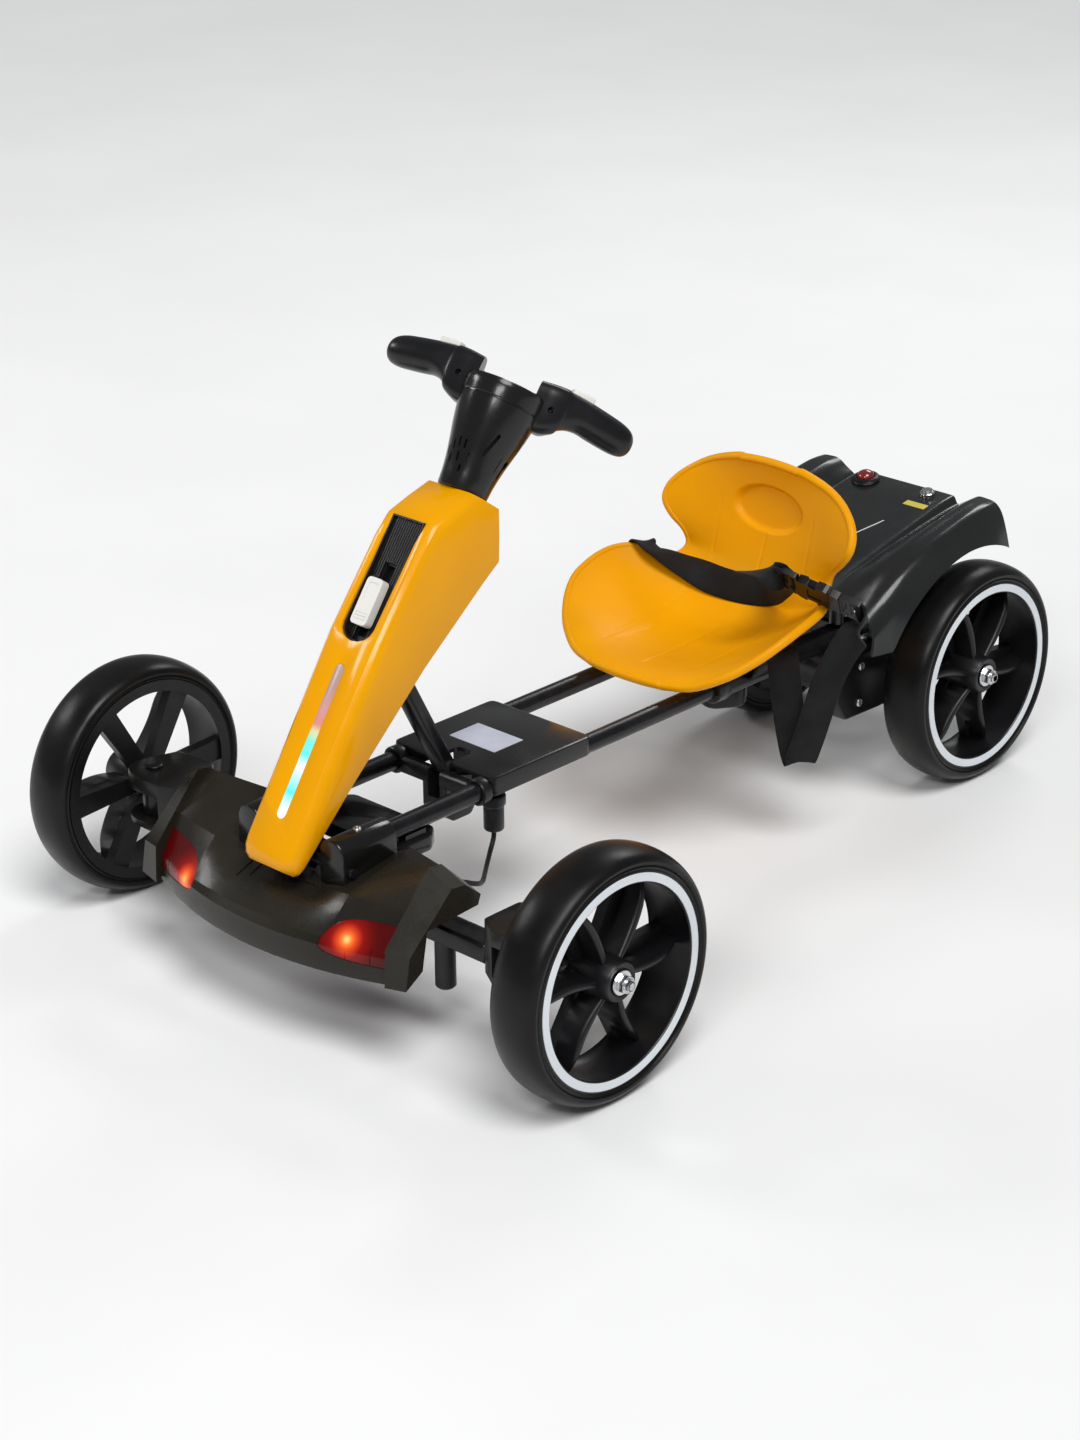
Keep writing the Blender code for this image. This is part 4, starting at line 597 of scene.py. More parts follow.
def wheel_pieces(label, wheel_x, wheel_y, sign, phase):
    centre = Vector((wheel_x, wheel_y, 0))
    body = f"{label}_wheel"

    def place(a, b, h):
        return centre + Vector((sign * h, a, b))

    half = TYRE_W / 2
    tyre = [(RIM_EDGE, half - 0.0026), (0.1052, half - 0.0012), (0.1066, half - 0.0022),
            (0.1078, half - 0.0008)]
    bulge = WHEEL_R - BEAD
    for k in range(1, 24):
        t = pi * k / 24
        tyre.append((BEAD + bulge * sin(t) ** 0.8, (half - 0.0004) * cos(t)))
    tyre += [(r, -h) for r, h in tyre[3::-1]]
    piece(f"tyre_{label}_visual", lathe(tyre, place, 128), TYRE, body, (f"tyre_{label}",), 24)
    lip = half - 0.0016
    rim = [(RIM_EDGE, lip - 0.0012), (RIM_EDGE, -lip), (0.0915, -lip), (0.0935, -lip + 0.003),
           (0.0945, -0.014), (0.0945, 0.006), (0.093, lip - 0.0075), (0.0912, lip - 0.0012),
           (0.0918, lip - 0.0002), (0.1018, lip - 0.0002)]
    hub = [(0.0052, HUB_OUT - 0.003), (0.011, HUB_OUT - 0.003), (0.0125, HUB_OUT - 0.0008),
           (0.0135, HUB_OUT), (0.018, HUB_OUT), (0.0195, HUB_OUT - 0.0016), (0.021, 0.004),
           (0.0215, -0.016), (0.0195, HUB_IN), (0.0052, HUB_IN)]
    spokes = [spoke(centre, sign, Matrix.Rotation(a + sign * phase, 3, "X")) for a in angles(SPOKES)]
    piece(f"rim_{label}_visual", joined(lathe(rim, place, 128), lathe(hub, place, 64), *spokes), SATIN, body,
          (f"rim_{label}",), 40)
    band = [(BAND_IN, lip - 0.0006), (BAND_IN + 0.0003, lip + 0.0004), (BAND_OUT - 0.0003, lip + 0.0004),
            (BAND_OUT, lip - 0.0006)]
    piece(f"white_band_{label}", lathe(band, place, 128), BAND, body)


def hub_nut(label, wheel_x, wheel_y, sign, body):
    """Washer, domed lock nut and the threaded end of the axle."""
    centre = Vector((wheel_x, wheel_y, 0))

    def place(a, b, h):
        return centre + Vector((sign * (HUB_OUT + h), a, b))

    def hexagon(r, h, a):
        return min(r, 0.0076 / cos((a + pi / 6) % (pi / 3) - pi / 6))

    washer = lathe(tenths(((53, 3), (116, 3), (118, 8), (114, 16), (53, 16))), place, 48)
    nut = turned(tenths(((84, 18), (88, 26), (88, 70), (80, 80))), place, 48, hexagon)
    collar = turned(tenths(((66, 78), (66, 90), (60, 97))), place, 32)
    thread = []
    for k in range(5):
        h = 0.0095 + 0.0005 * k
        thread += [(0.0047, h), (0.005, h + 0.00025)]
    thread += [(0.0046, 0.0121), (0.0036, 0.0125)]
    piece(f"axle_nut_{label}", joined(washer, nut, collar, turned(thread, place, 32)), ZINC, body,
          (f"hub_nut_{label}",), 30)


for label, x, y, sign, phase, _ in WHEELS:
    wheel_pieces(label, x, y, sign, phase)
for label, x, y, sign, _, carrier in WHEELS:
    hub_nut(label, x, y, sign, carrier)

# Seat's sections from its front edge to its top: y and z in the middle, then x, y and z at the edge
SEAT = tenths((
    ((3765, 800), (500, 3800, 795)),
    ((3840, 830), (800, 3890, 850)),
    ((3980, 858), (1080, 4080, 990)),
    ((4200, 868), (1280, 4330, 1160)),
    ((4450, 875), (1375, 4560, 1290)),
    ((4720, 882), (1400, 4800, 1370)),
    ((5000, 895), (1395, 5000, 1415)),
    ((5220, 915), (1360, 5170, 1435)),
    ((5420, 960), (1270, 5330, 1430)),
    ((5600, 1050), (1120, 5500, 1370)),
    ((5740, 1180), (985, 5680, 1310)),
    ((5840, 1325), (930, 5810, 1390)),
    ((5920, 1500), (980, 5810, 1540)),
    ((5980, 1680), (1120, 5770, 1690)),
    ((6020, 1840), (1220, 5770, 1840)),
    ((6040, 1990), (1215, 5830, 1980)),
    ((6045, 2120), (1120, 5910, 2110)),
    ((6040, 2240), (960, 5980, 2230)),
    ((6030, 2350), (740, 6010, 2335)),
    ((6015, 2450), (420, 6010, 2420)),
))
SEAT_PER = 9
SEAT_COLS = 121
SEAT_T = 0.005
# Moulded lines: depth, place across, first and last section and fade
SEAT_LINES = (
    (0.0011, 0.0, 10.8, 13.3, 0.35), (0.001, 0.061, 10.2, 15.2, 0.35),
    (0.001, 0.0, 1.9, 7.4, 0.6), (0.001, 0.0625, 2.5, 8.6, 0.6),
)


def window(s, low, high, fade):
    """One between low and high, fading to nothing at both."""
    return max(0.0, min(1.0, (s - low) / fade, (high - s) / fade))


def seat_surface():
    centres = smooth([(0, *centre) for centre, _ in SEAT], SEAT_PER)
    edges = smooth([edge for _, edge in SEAT], SEAT_PER)
    grid = []
    for i, (centre, edge) in enumerate(zip(centres, edges)):
        row = []
        sag = 0.0055 * window(i / SEAT_PER, 0.8, 9.6, 3.0)
        for j in range(SEAT_COLS):
            v = -1 + 2 * j / (SEAT_COLS - 1)
            f = abs(v) ** 2.1
            row.append(Vector((edge.x * v, centre.y + (edge.y - centre.y) * f,
                               centre.z - sag + (edge.z - centre.z + sag) * f)))
        grid.append(row)
    return grid


def seat_groove(s, point):
    """Depth of the moulded lines and the round dimple at a point of the seat."""
    deep = 0.0
    for depth, across, low, high, fade in SEAT_LINES:
        deep += depth * exp(-((abs(point.x) - across) / 0.001) ** 2) * window(s, low, high, fade)
    across = point.x / 0.045
    high = (point.z - 0.195) / 0.024
    d = sqrt(across * across + high * high)
    if s > 11:
        deep += 0.0046 * max(0.0, min(1.0, (1.05 - d) / 0.17)) ** 1.5
    return deep


def build_seat():
    """Thin seat shell with two pads on the rails' sleeves, and the rolled edge round it."""
    grid = seat_surface()
    columns = list(zip(*grid))
    rows = len(grid)
    top = []
    low = []
    for i, row in enumerate(grid):
        s = i / SEAT_PER
        for j, p in enumerate(row):
            v = -1 + 2 * j / (SEAT_COLS - 1)
            out = ahead_of(columns[j], i).cross(ahead_of(row, j)).normalized()
            top.append(p + out * (seat_groove(s, p) + 0.0002))
            low.append(p + out * (SEAT_T + 0.0026 * (abs(v) > 0.9)))
    points = top + low
    faces = []
    base = rows * SEAT_COLS
    for i in range(rows - 1):
        for j in range(SEAT_COLS - 1):
            a = i * SEAT_COLS + j
            faces.append((a, a + 1, a + SEAT_COLS + 1, a + SEAT_COLS))
            faces.append((base + a, base + a + SEAT_COLS, base + a + SEAT_COLS + 1, base + a + 1))
    loop = list(range(SEAT_COLS))
    loop += [i * SEAT_COLS + SEAT_COLS - 1 for i in range(1, rows)]
    loop += [(rows - 1) * SEAT_COLS + j for j in range(SEAT_COLS - 2, -1, -1)]
    loop += [i * SEAT_COLS for i in range(rows - 2, 0, -1)]
    for k, a in enumerate(loop):
        b = loop[(k + 1) % len(loop)]
        faces.append((a, b, base + b, base + a))
    pads = [slab(sx * RAIL_HALF - 0.014, sx * RAIL_HALF + 0.014, 0.468, 0.535, 0.004,
                 RAIL_H + SLEEVE_R + 0.0004, 0.083) for sx in (-1, 1)]
    piece("seat", joined(from_faces(points, faces), *pads), SEAT_YELLOW, "rear_unit",
          ("seat_shell",), 50)
    mids = [(points[a] + points[base + a]) / 2 for a in loop[::2]]
    rings = []
    for i, p in enumerate(mids):
        ahead = (mids[(i + 1) % len(mids)] - mids[i - 1]).normalized()
        a = loop[2 * i]
        thick = (points[base + a] - points[a]).normalized()
        out = ahead.cross(thick).normalized()
        rings.append([p + out * 0.004 * cos(a) + thick * 0.0047 * sin(a) for a in angles(16)])
    piece("seat_rolled_edge", loft(rings, closed=True), SEAT_YELLOW, "rear_unit", (), 60)


build_seat()

# Rear shell's sections: y, deck, groove, rise, hump, fall and half width
SHELL = tenths((
    (6220, 1205, 1185, 1160, 1020, 800, 1260),
    (6450, 1250, 1230, 1240, 1150, 950, 1320),
    (6800, 1320, 1295, 1360, 1350, 1210, 1375),
    (7200, 1405, 1375, 1460, 1500, 1420, 1400),
    (7746, 1517, 1470, 1560, 1620, 1540, 1400),
    (8150, 1600, 1530, 1620, 1690, 1600, 1400),
    (8380, 1630, 1550, 1630, 1700, 1590, 1390),
))
ARCH_R = WHEEL_R + 0.0175
SHELL_T = 0.003
BUTTON_Y = REAR_Y + 0.045
DECK_LEAN = atan(0.17)


def deck_z(y):
    for a, b in zip(SHELL, SHELL[1:]):
        if y <= b[0]:
            f = (y - a[0]) / (b[0] - a[0])
            return a[1] + (b[1] - a[1]) * f
    return SHELL[-1][1]


def deck_place(x, y):
    """Placement on the deck: to the left, to the rear and out from it."""
    up = Vector((0, -sin(DECK_LEAN), cos(DECK_LEAN)))
    fore = Vector((0, cos(DECK_LEAN), sin(DECK_LEAN)))
    centre = Vector((x, y, deck_z(y)))
    return lambda a, b, h: centre + SIDE * a + fore * b + up * h


def deck_fittings():
    place = deck_place(-0.042, BUTTON_Y)
    bezel = tenths(((98, -60), (115, -60), (115, 6), (156, 6), (158, 20), (150, 30), (150, 36), (138, 44),
                    (138, 50), (124, 56), (104, 56), (98, 48)))
    piece("button_bezel_visual", lathe(bezel, place, 64), SATIN, "rear_unit",
          ("button_bezel",), 30)
    dome = [(0.0094, -0.004), (0.0095, 0.005)]
    for k in range(10):
        a = pi / 2 * k / 10
        dome.append((0.0095 * cos(a), 0.006 + 0.006 * sin(a)))
    dome.append((0.0003, 0.012))
    piece("red_dome_button", turned(dome, place, 64), DOME, "power_button",
          ("red_button",), 50)

    def knurl(r, h, a):
        return r * (1 + (0.035 * cos(18 * a) if 0.0008 < h < 0.005 else 0))

    knob = turned(tenths(((45, -80), (45, 4), (80, 6), (82, 12), (82, 44), (74, 54), (62, 60), (58, 74),
                          (48, 81))), deck_place(0.04, BUTTON_Y + 0.003), 72, knurl)
    piece("speed_knob_visual", knob, CHROME, "speed_knob", ("chrome_knob",), 30)
    label = slab(-0.014, 0.014, -0.0048, 0.0048, 0.0008, 0.0001, 0.0004, deck_place(0.041, 0.8))
    piece("bare_yellow_label", label, YELLOW_LABEL, "rear_unit")
    # Thin white strip along the deck's edge: a painted highlight for the light caught on that edge, not a
    # real stripe
    strip = [(-0.012, -0.047), (-0.0106, -0.047), (0.0066, 0.026), (0.0052, 0.026)]
    line = prism(strip, 0.0001, 0.0005, deck_place(0.028, 0.744))
    piece("deck_edge_painted_highlight", line, BAND, "rear_unit")


deck_fittings()

# Nose
LIP_Y = -0.1355
NOSE_HALF = 0.18
NOSE_WALL = 0.003
PANEL_X = 0.046
INNER_X = 0.091
OUTER_X = 0.151
# Lamp lens: x, lower and upper edge
LENS = tenths(((860, -60, 20), (930, -95, 120), (1080, -120, 190), (1320, -135, 215), (1550, -140, 215)))


def lip_y(x):
    return LIP_Y + 1.353 * x * x


def mixed(a, b, f):
    return tuple(u + (v - u) * f for u, v in zip(a, b))


def nose_line(x):
    """Outer line of the nose at x, from the lip's lower edge to the rear, as (y, z)."""
    a = abs(x)
    front = lip_y(x)
    inner = min(1.0, max(0.0, (a - PANEL_X) / (INNER_X - PANEL_X)))
    outer = min(1.0, max(0.0, (a - INNER_X) / (OUTER_X - INNER_X)))
    ridge = mixed(mixed((-0.012, 0.0252), (-0.012, 0.054), inner), (-0.034, 0.064), outer)
    knee = mixed((front + 0.006, 0.003), (front + 0.004, 0.002), inner)
    mid = mixed((-0.08, 0.0252), (front * 0.5 - 0.027, 0.034), inner)
    low = mixed((-0.108, 0.014), (knee[0] + (mid[0] - knee[0]) * 0.5, 0.018), inner)
    rear = (ridge[0] + 0.0045, ridge[1] - 0.006 - 0.01 * inner)
    return [(front + 0.001, -0.03), (front, -0.024), (front, -0.004), knee, low, mid, ridge, rear]


def inner_line(line, thick):
    made = []
    for i, p in enumerate(line):
        d = ahead_of(line, i).normalized()
        made.append((p[0] + d[1] * thick, p[1] - d[0] * thick))
    return made


def finer(line):
    """The same line with its long spans divided, so that a twisted face stays even."""
    made = []
    for (a, b), count in zip(zip(line, line[1:]), (1, 2, 1, 3, 3, 8, 1)):
        made += [mixed(a, b, k / count) for k in range(count)]
    return made + [line[-1]]


def lens_face(x, z):
    """Front of the lens at x and z, level with the nose's outer line."""
    front = lip_y(x)
    if z <= -0.004:
        return front
    if z <= 0.002:
        return front + (z + 0.004) / 0.006 * 0.004
    knee = front + 0.004
    return knee + (front * 0.5 - 0.027 - knee) * (z - 0.002) / 0.032


def lens_loft(sx, grow, out, deep):
    """Lens grown all round, standing out of the nose's face and reaching some depth into it."""
    rings = []
    stops = smooth(LENS, 6)
    for i, (x, low, high) in enumerate(stops):
        x += -grow if i == 0 else grow if i == len(stops) - 1 else 0
        low -= grow
        high += grow
        heights = [low + (high - low) * k / 10 for k in range(11)]
        ring = [Vector((sx * x, lens_face(x, z) - out, z)) for z in heights]
        ring += [Vector((sx * x, lens_face(x, z) + deep, z)) for z in heights[::-1]]
        rings.append(ring)
    return loft(rings)


def build_nose():
    """Nose with its wings and two posts, cut for the middle panel and the lenses."""
    stations = sorted({round(-0.16 + 0.005 * k, 4) for k in range(65)}
                      | {sx * v for sx in (-1, 1) for v in (PANEL_X, INNER_X, OUTER_X)})
    rings = []
    for x in stations:
        line = nose_line(x)
        fine = finer(line) + finer(inner_line(line, NOSE_WALL))[::-1]
        rings.append([Vector((x, y, z)) for y, z in fine])
    wing_in = tenths(((-1080, 80), (-520, 690), (-360, 670), (-80, 400), (-110, 250), (-820, 240),
                      (-830, -150), (-1100, -290)))
    wing_out = tenths(((-1010, 50), (-470, 540), (-300, 520), (-110, 360), (-145, 265), (-785, 235),
                       (-855, -135), (-1065, -260)))
    wings = [loft([[Vector((sx * x, y, z)) for y, z in shape]
                   for x, shape in ((0.156, wing_in), (NOSE_HALF, wing_out))]) for sx in (-1, 1)]
    slope = atan2(0.0112, 0.028)

    def panel(u, v, w):
        return Vector((u, v * cos(slope) - w * sin(slope) - 0.108, v * sin(slope) + w * cos(slope) + 0.014))

    nose = cut(loft(rings), box(-0.044, 0.044, 0.002, 0.027, -0.0013, 0.01, panel),
               slab(-0.033, 0.033, 0.0085, 0.0265, 0.002, -0.0023, 0.01, panel),
               *[lens_loft(sx, 0.0003, 0.02, 0.01) for sx in (-1, 1)])
    posts = [box(sx * 0.03 - 0.004, sx * 0.03 + 0.004, -0.033, -0.0105, 0.0013, 0.0235) for sx in (-1, 1)]
    piece("nose_cover", joined(nose, *wings, *posts), NOSE, "front_frame", ("nose_shell",),
          13, 0.0011)
    for side, sx, glass in (("left", 1, LENS_LEFT), ("right", -1, LENS_RIGHT)):
        slits = [box(*sorted((sx * x, sx * (x + 0.0007))), -0.14, lens_face(x, 0.0) + 0.0013, -0.03, 0.03)
                 for x in (0.113, 0.137)]
        piece(f"lamp_lens_{side}", cut(lens_loft(sx, 0.0, -0.0006, 0.005), *slits), glass, "front_frame",
              (f"light_lens_{side}",), 30, 0.0006)


build_nose()

# Head with its rear panel, which starts at SPLIT; the head's outline gives radius and height
SPLIT = 0.017
HEAD_LINE = tenths((
    (222, 3776), (240, 3780), (246, 3794), (256, 3920), (270, 4020),
    (288, 4120), (313, 4235), (340, 4350), (361, 4455), (378, 4550),
    (386, 4620), (390, 4662), (384, 4670), (384, 4682), (392, 4690),
    (397, 4740), (400, 4790), (398, 4826), (389, 4850), (374, 4860),
    (350, 4860), (338, 4852), (332, 4830),
))
# Slots in the head's skin: angle, height, width and length, and the lean of one
HEAD_SLOTS = (
    (-2.66, 0.4095, 0.0021, 0.0088), (-2.38, 0.415, 0.0021, 0.0088), (-2.16, 0.4188, 0.0021, 0.0088),
    (-1.94, 0.4178, 0.0021, 0.0088), (-2.44, 0.402, 0.0021, 0.0078), (-2.09, 0.405, 0.0021, 0.0088),
    (-1.71, 0.407, 0.0021, 0.0088), (-1.88, 0.395, 0.0021, 0.007), (-1.18, 0.425, 0.0034, 0.025, -0.26),
    (-0.26, 0.4155, 0.007, 0.0076), (-0.3, 0.407, 0.0026, 0.013),
)


def head_radius(t):
    for (r0, t0), (r1, t1) in zip(HEAD_LINE, HEAD_LINE[1:]):
        if t0 <= t <= t1:
            return r0 + (r1 - r0) * (t - t0) / (t1 - t0)
    return HEAD_LINE[-1][0]


def radial(angle, t):
    """Placement on the head's skin: u round it, v up it, w out from it."""
    c = cos(angle)
    s = sin(angle)
    r = head_radius(t)
    return lambda u, v, w: head(c * (r + w) - s * u, s * (r + w) + c * u, t + v)


def slot_shape(angle, t, wide, tall, lean=0.0):
    outline = rounded(rect(-wide / 2, wide / 2, -tall / 2, tall / 2), wide * 0.48, 4)
    turn = Matrix.Rotation(lean, 2)
    return prism([turn @ p for p in outline], -0.005, 0.006, radial(angle, t))


def build_head():
    seam = box(-0.0005, 0.0005, -0.029, 0.012, -0.0008, 0.006, radial(-0.62, 0.407))
    skin = cut(turned(HEAD_LINE, head, 128), box(-0.1, 0.1, SPLIT, 0.1, 0.3, 0.6, head),
               *[slot_shape(*row) for row in HEAD_SLOTS], seam)
    piece("head_cover", skin, DARK, "steering_head", ("head_body",), 28)
    back = [(r, t if t < 0.484 else t + 0.0085) for r, t in HEAD_LINE]
    panel = cut(turned(back, head, 128), box(-0.1, 0.1, -0.1, SPLIT + 0.0003, 0.3, 0.6, head))
    piece("head_rear_cover", panel, YELLOW, "steering_head", ("head_panel",), 28)
    inner = turned(tenths(((300, 4826), (300, 4842), (285, 4850))),
                   lambda a, b, h: head(a, min(b, SPLIT - 0.0012), h), 64)
    piece("head_top_cap", inner, FLAT, "steering_head")


build_head()

# Grips: x, depth, height and rise of each section, and the power of its outline
GRIP_T = 0.492
GRIP_N = 0.01
GRIP_SWEEP = 0.436
GRIP_DROOP = 0.104
GRIP = (
    (0.029, 0.016, 0.0235, -0.0135, 3.6), (0.038, 0.0172, 0.025, -0.0125, 3.6),
    (0.045, 0.018, 0.0248, -0.0105, 3.6), (0.052, 0.018, 0.0228, -0.0072, 3.4),
    (0.0536, 0.0166, 0.0208, -0.0056, 3.0), (0.062, 0.0165, 0.018, -0.002, 2.5),
    (0.072, 0.0165, 0.0167, 0.0, 2.2), (0.084, 0.0167, 0.0167, 0.0, 2.1),
    (0.096, 0.0165, 0.0165, 0.0, 2.0), (0.108, 0.0158, 0.0158, 0.0, 2.0),
    (0.1165, 0.0136, 0.0136, 0.0, 2.0), (0.1208, 0.01, 0.01, 0.0, 2.0),
    (0.1226, 0.0058, 0.0058, 0.0, 2.0), (0.123, 0.0015, 0.0015, 0.0, 2.0),
)


def grip_frame(sx, x, shift=0.0):
    """Centre of the grip's section at x, and its across direction."""
    n = GRIP_N + GRIP_SWEEP * (x - 0.045)
    t = GRIP_T - GRIP_DROOP * (x - 0.045) + shift
    lean = atan(GRIP_SWEEP) * min(1.0, max(0.0, (x - 0.0404) / 0.012))
    across = head(sx * (x - sin(lean)), n + cos(lean), t) - head(sx * x, n, t)
    return head(sx * x, n, t), across


def build_grip(side, sx):
    """Lofted grip with the thumb button's pocket and a sunk screw."""
    rings = []
    for x, deep, tall, shift, power in smooth(GRIP, 4):
        centre, across = grip_frame(sx, x, shift)
        ring = []
        for a in angles(40):
            c = copysign(abs(cos(a)) ** (2 / power), cos(a))
            s = copysign(abs(sin(a)) ** (2 / power), sin(a))
            ring.append(centre + across * deep * c + UP * tall * s)
        rings.append(ring)
    grip = loft(rings)
    centre, across = grip_frame(sx, 0.0665)

    def key_place(u, v, w):
        along = UP.cross(across).normalized()
        return centre + along * u + across * v + UP * w

    pocket = slab(-0.0122, 0.0122, -0.0066, 0.0066, 0.0026, 0.0098, 0.04, key_place)
    spot, sunk = grip_frame(sx, 0.0445, -0.012)
    out = -sunk
    well = turned([(0.003, -0.006), (0.003, 0.01)],
                  lambda a, b, h: spot + out * (0.017 + h) + UP * a + UP.cross(out).normalized() * b, 32)
    piece(f"hand_grip_{side}", cut(grip, pocket, well), GRIP_BLACK, "steering_head",
          (f"grip_{side}",), 40)
    piece(f"grip_screw_{side}", bolt(spot + out * 0.0112, out, 0.0026, 0.002), SATIN, "steering_head",
          (), 40)


build_grip("left", 1)
build_grip("right", -1)


# Ribbed insert and lock slider in the column's slot
def slot_outline(grow):
    half = 0.0205 + grow
    low = 0.208 - grow
    pts = []
    for k in range(17):
        a = pi + pi * k / 16
        pts.append((half * cos(a), low + half * 0.75 * (1 + sin(a))))
    pts += [(half, 0.333 + grow), (-half, 0.333 + grow)]
    return pts


def build_slot():
    """Insert with its lip and upright ribs, and the slider with its recess, grip lines and stem."""
    base = cut(prism(slot_outline(-0.0003), 0.003, 0.019, xt),
               box(-0.0055, 0.0055, 0.216, 0.286, -0.02, 0.01, xt))
    lip = cut(prism(slot_outline(-0.0003), -0.0026, 0.0032, xt),
              prism(slot_outline(-0.002), -0.01, 0.01, xt))
    ribs = []
    for k in range(-6, 7):
        x = 0.00285 * k
        low = 0.207 + 0.0155 - 0.015 * sqrt(max(0.0, 1 - (x / 0.019) ** 2))
        if abs(x) < 0.0065:
            low = 0.288
        ribs.append(box(x - 0.0009, x + 0.0009, low, 0.331, -0.0002, 0.0032, xt))
    piece("ribbed_insert", joined(base, lip, *ribs), SATIN, "column", ("slot_insert",), 35)
    lines = [0.2285 + 0.003 * k for k in range(3)]
    slider = cut(slab(-0.01, 0.01, 0.224, 0.27, 0.0048, -0.0103, -0.0012, xt),
                 slab(-0.0062, 0.0062, 0.24, 0.265, 0.0028, -0.02, -0.0095, xt),
                 *[box(-0.0075, 0.0075, t, t + 0.001, -0.02, -0.0097, xt) for t in lines])
    stem = box(-0.004, 0.004, 0.238, 0.256, -0.0014, 0.009, xt)
    piece("white_slider", joined(slider, stem), WHITE, "lock", ("lock_slider",), 35, 0.0011)


build_slot()


def build_shell():
    """Rear cover: a deck between two grooves, humps over the wheels, and two posts on the sleeves."""
    rings = []
    for y, deck, groove, rise, hump, fall, half in smooth(SHELL, 9):
        gap = abs(y - REAR_Y)
        low = max(sqrt(max(ARCH_R ** 2 - gap ** 2, 0.0)), 0.0575)
        low = min(low, fall - 0.008)
        line = [(0.0, deck), (0.03, deck), (0.056, deck), (0.064, deck - 0.0008), (0.069, groove),
                (0.076, (groove + rise) / 2 - 0.0005), (0.084, rise), (0.095, (rise + hump) / 2 + 0.003),
                (0.106, hump), (0.118, (hump + fall) / 2 + 0.0035), (0.127, fall),
                ((0.127 + half) / 2 + 0.001, (fall + low) / 2), (half, low)]
        fine = [(p.x, p.y) for p in smooth(line, 4)]
        inside = inner_line(fine, SHELL_T)
        inside[0] = (0.0, inside[0][1])
        inside[-1] = (half - SHELL_T, low)
        ring = [(-x, z) for x, z in fine[:0:-1]] + fine + inside[::-1] + [(-x, z) for x, z in inside[1:]]
        rings.append([Vector((x, y, z)) for x, z in ring])
    posts = []
    for sx in (-1, 1):
        posts.append(turned([(0.008, RAIL_H + SLEEVE_R + 0.0004), (0.008, 0.1215)],
                            lambda a, b, h, sx=sx: Vector((sx * RAIL_HALF + a, 0.65 + b, h)), 32))
    piece("rear_cover", joined(loft(rings), *posts), DECK, "rear_unit", ("rear_shell",), 48)


build_shell()

# Belts and buckle
WEB_W = 0.032
WEB_T = 0.0021
WEB_SECTION = (
    (-1, -0.25), (-0.97, -0.5), (-0.5, -0.5), (0, -0.5), (0.5, -0.5), (0.97, -0.5), (1, -0.25),
    (1, 0.25), (0.97, 0.5), (0.5, 0.5), (0, 0.5), (-0.5, 0.5), (-0.97, 0.5), (-1, 0.25),
)
BUCKLE_A = Vector((0.102, 0.511, 0.1686))
BUCKLE_B = Vector((0.1813, 0.5314, 0.1479))
ALONG = (BUCKLE_B - BUCKLE_A).normalized()
SLANT = Vector((0.15, -0.62, 0.78))
WIDE = (SLANT - ALONG * SLANT.dot(ALONG)).normalized()
FACE = ALONG.cross(WIDE).normalized()
BUCKLE_LEN = (BUCKLE_B - BUCKLE_A).length


def buckle_place(u, v, w):
    return BUCKLE_A + ALONG * u + WIDE * v + FACE * w


def strap(stops, width=WEB_W, tip=0.0):
    """Webbing through stops of a point, in tenths where it's a tuple, and its width's direction."""
    points = smooth([tenths(p) if isinstance(p, tuple) else p for p, _ in stops], 8)
    wides = smooth([Vector(w).normalized() for _, w in stops], 8)
    rings = []
    for i, p in enumerate(points):
        ahead = ahead_of(points, i).normalized()
        wide = (wides[i] - ahead * wides[i].dot(ahead)).normalized()
        flat = ahead.cross(wide).normalized()
        left = (points[-1] - p).length
        half = width / 2 * (min(1.0, 0.15 + left / tip) if tip and left < tip else 1.0)
        rings.append([p + wide * half * u + flat * WEB_T * v for u, v in WEB_SECTION])
    return loft(rings)


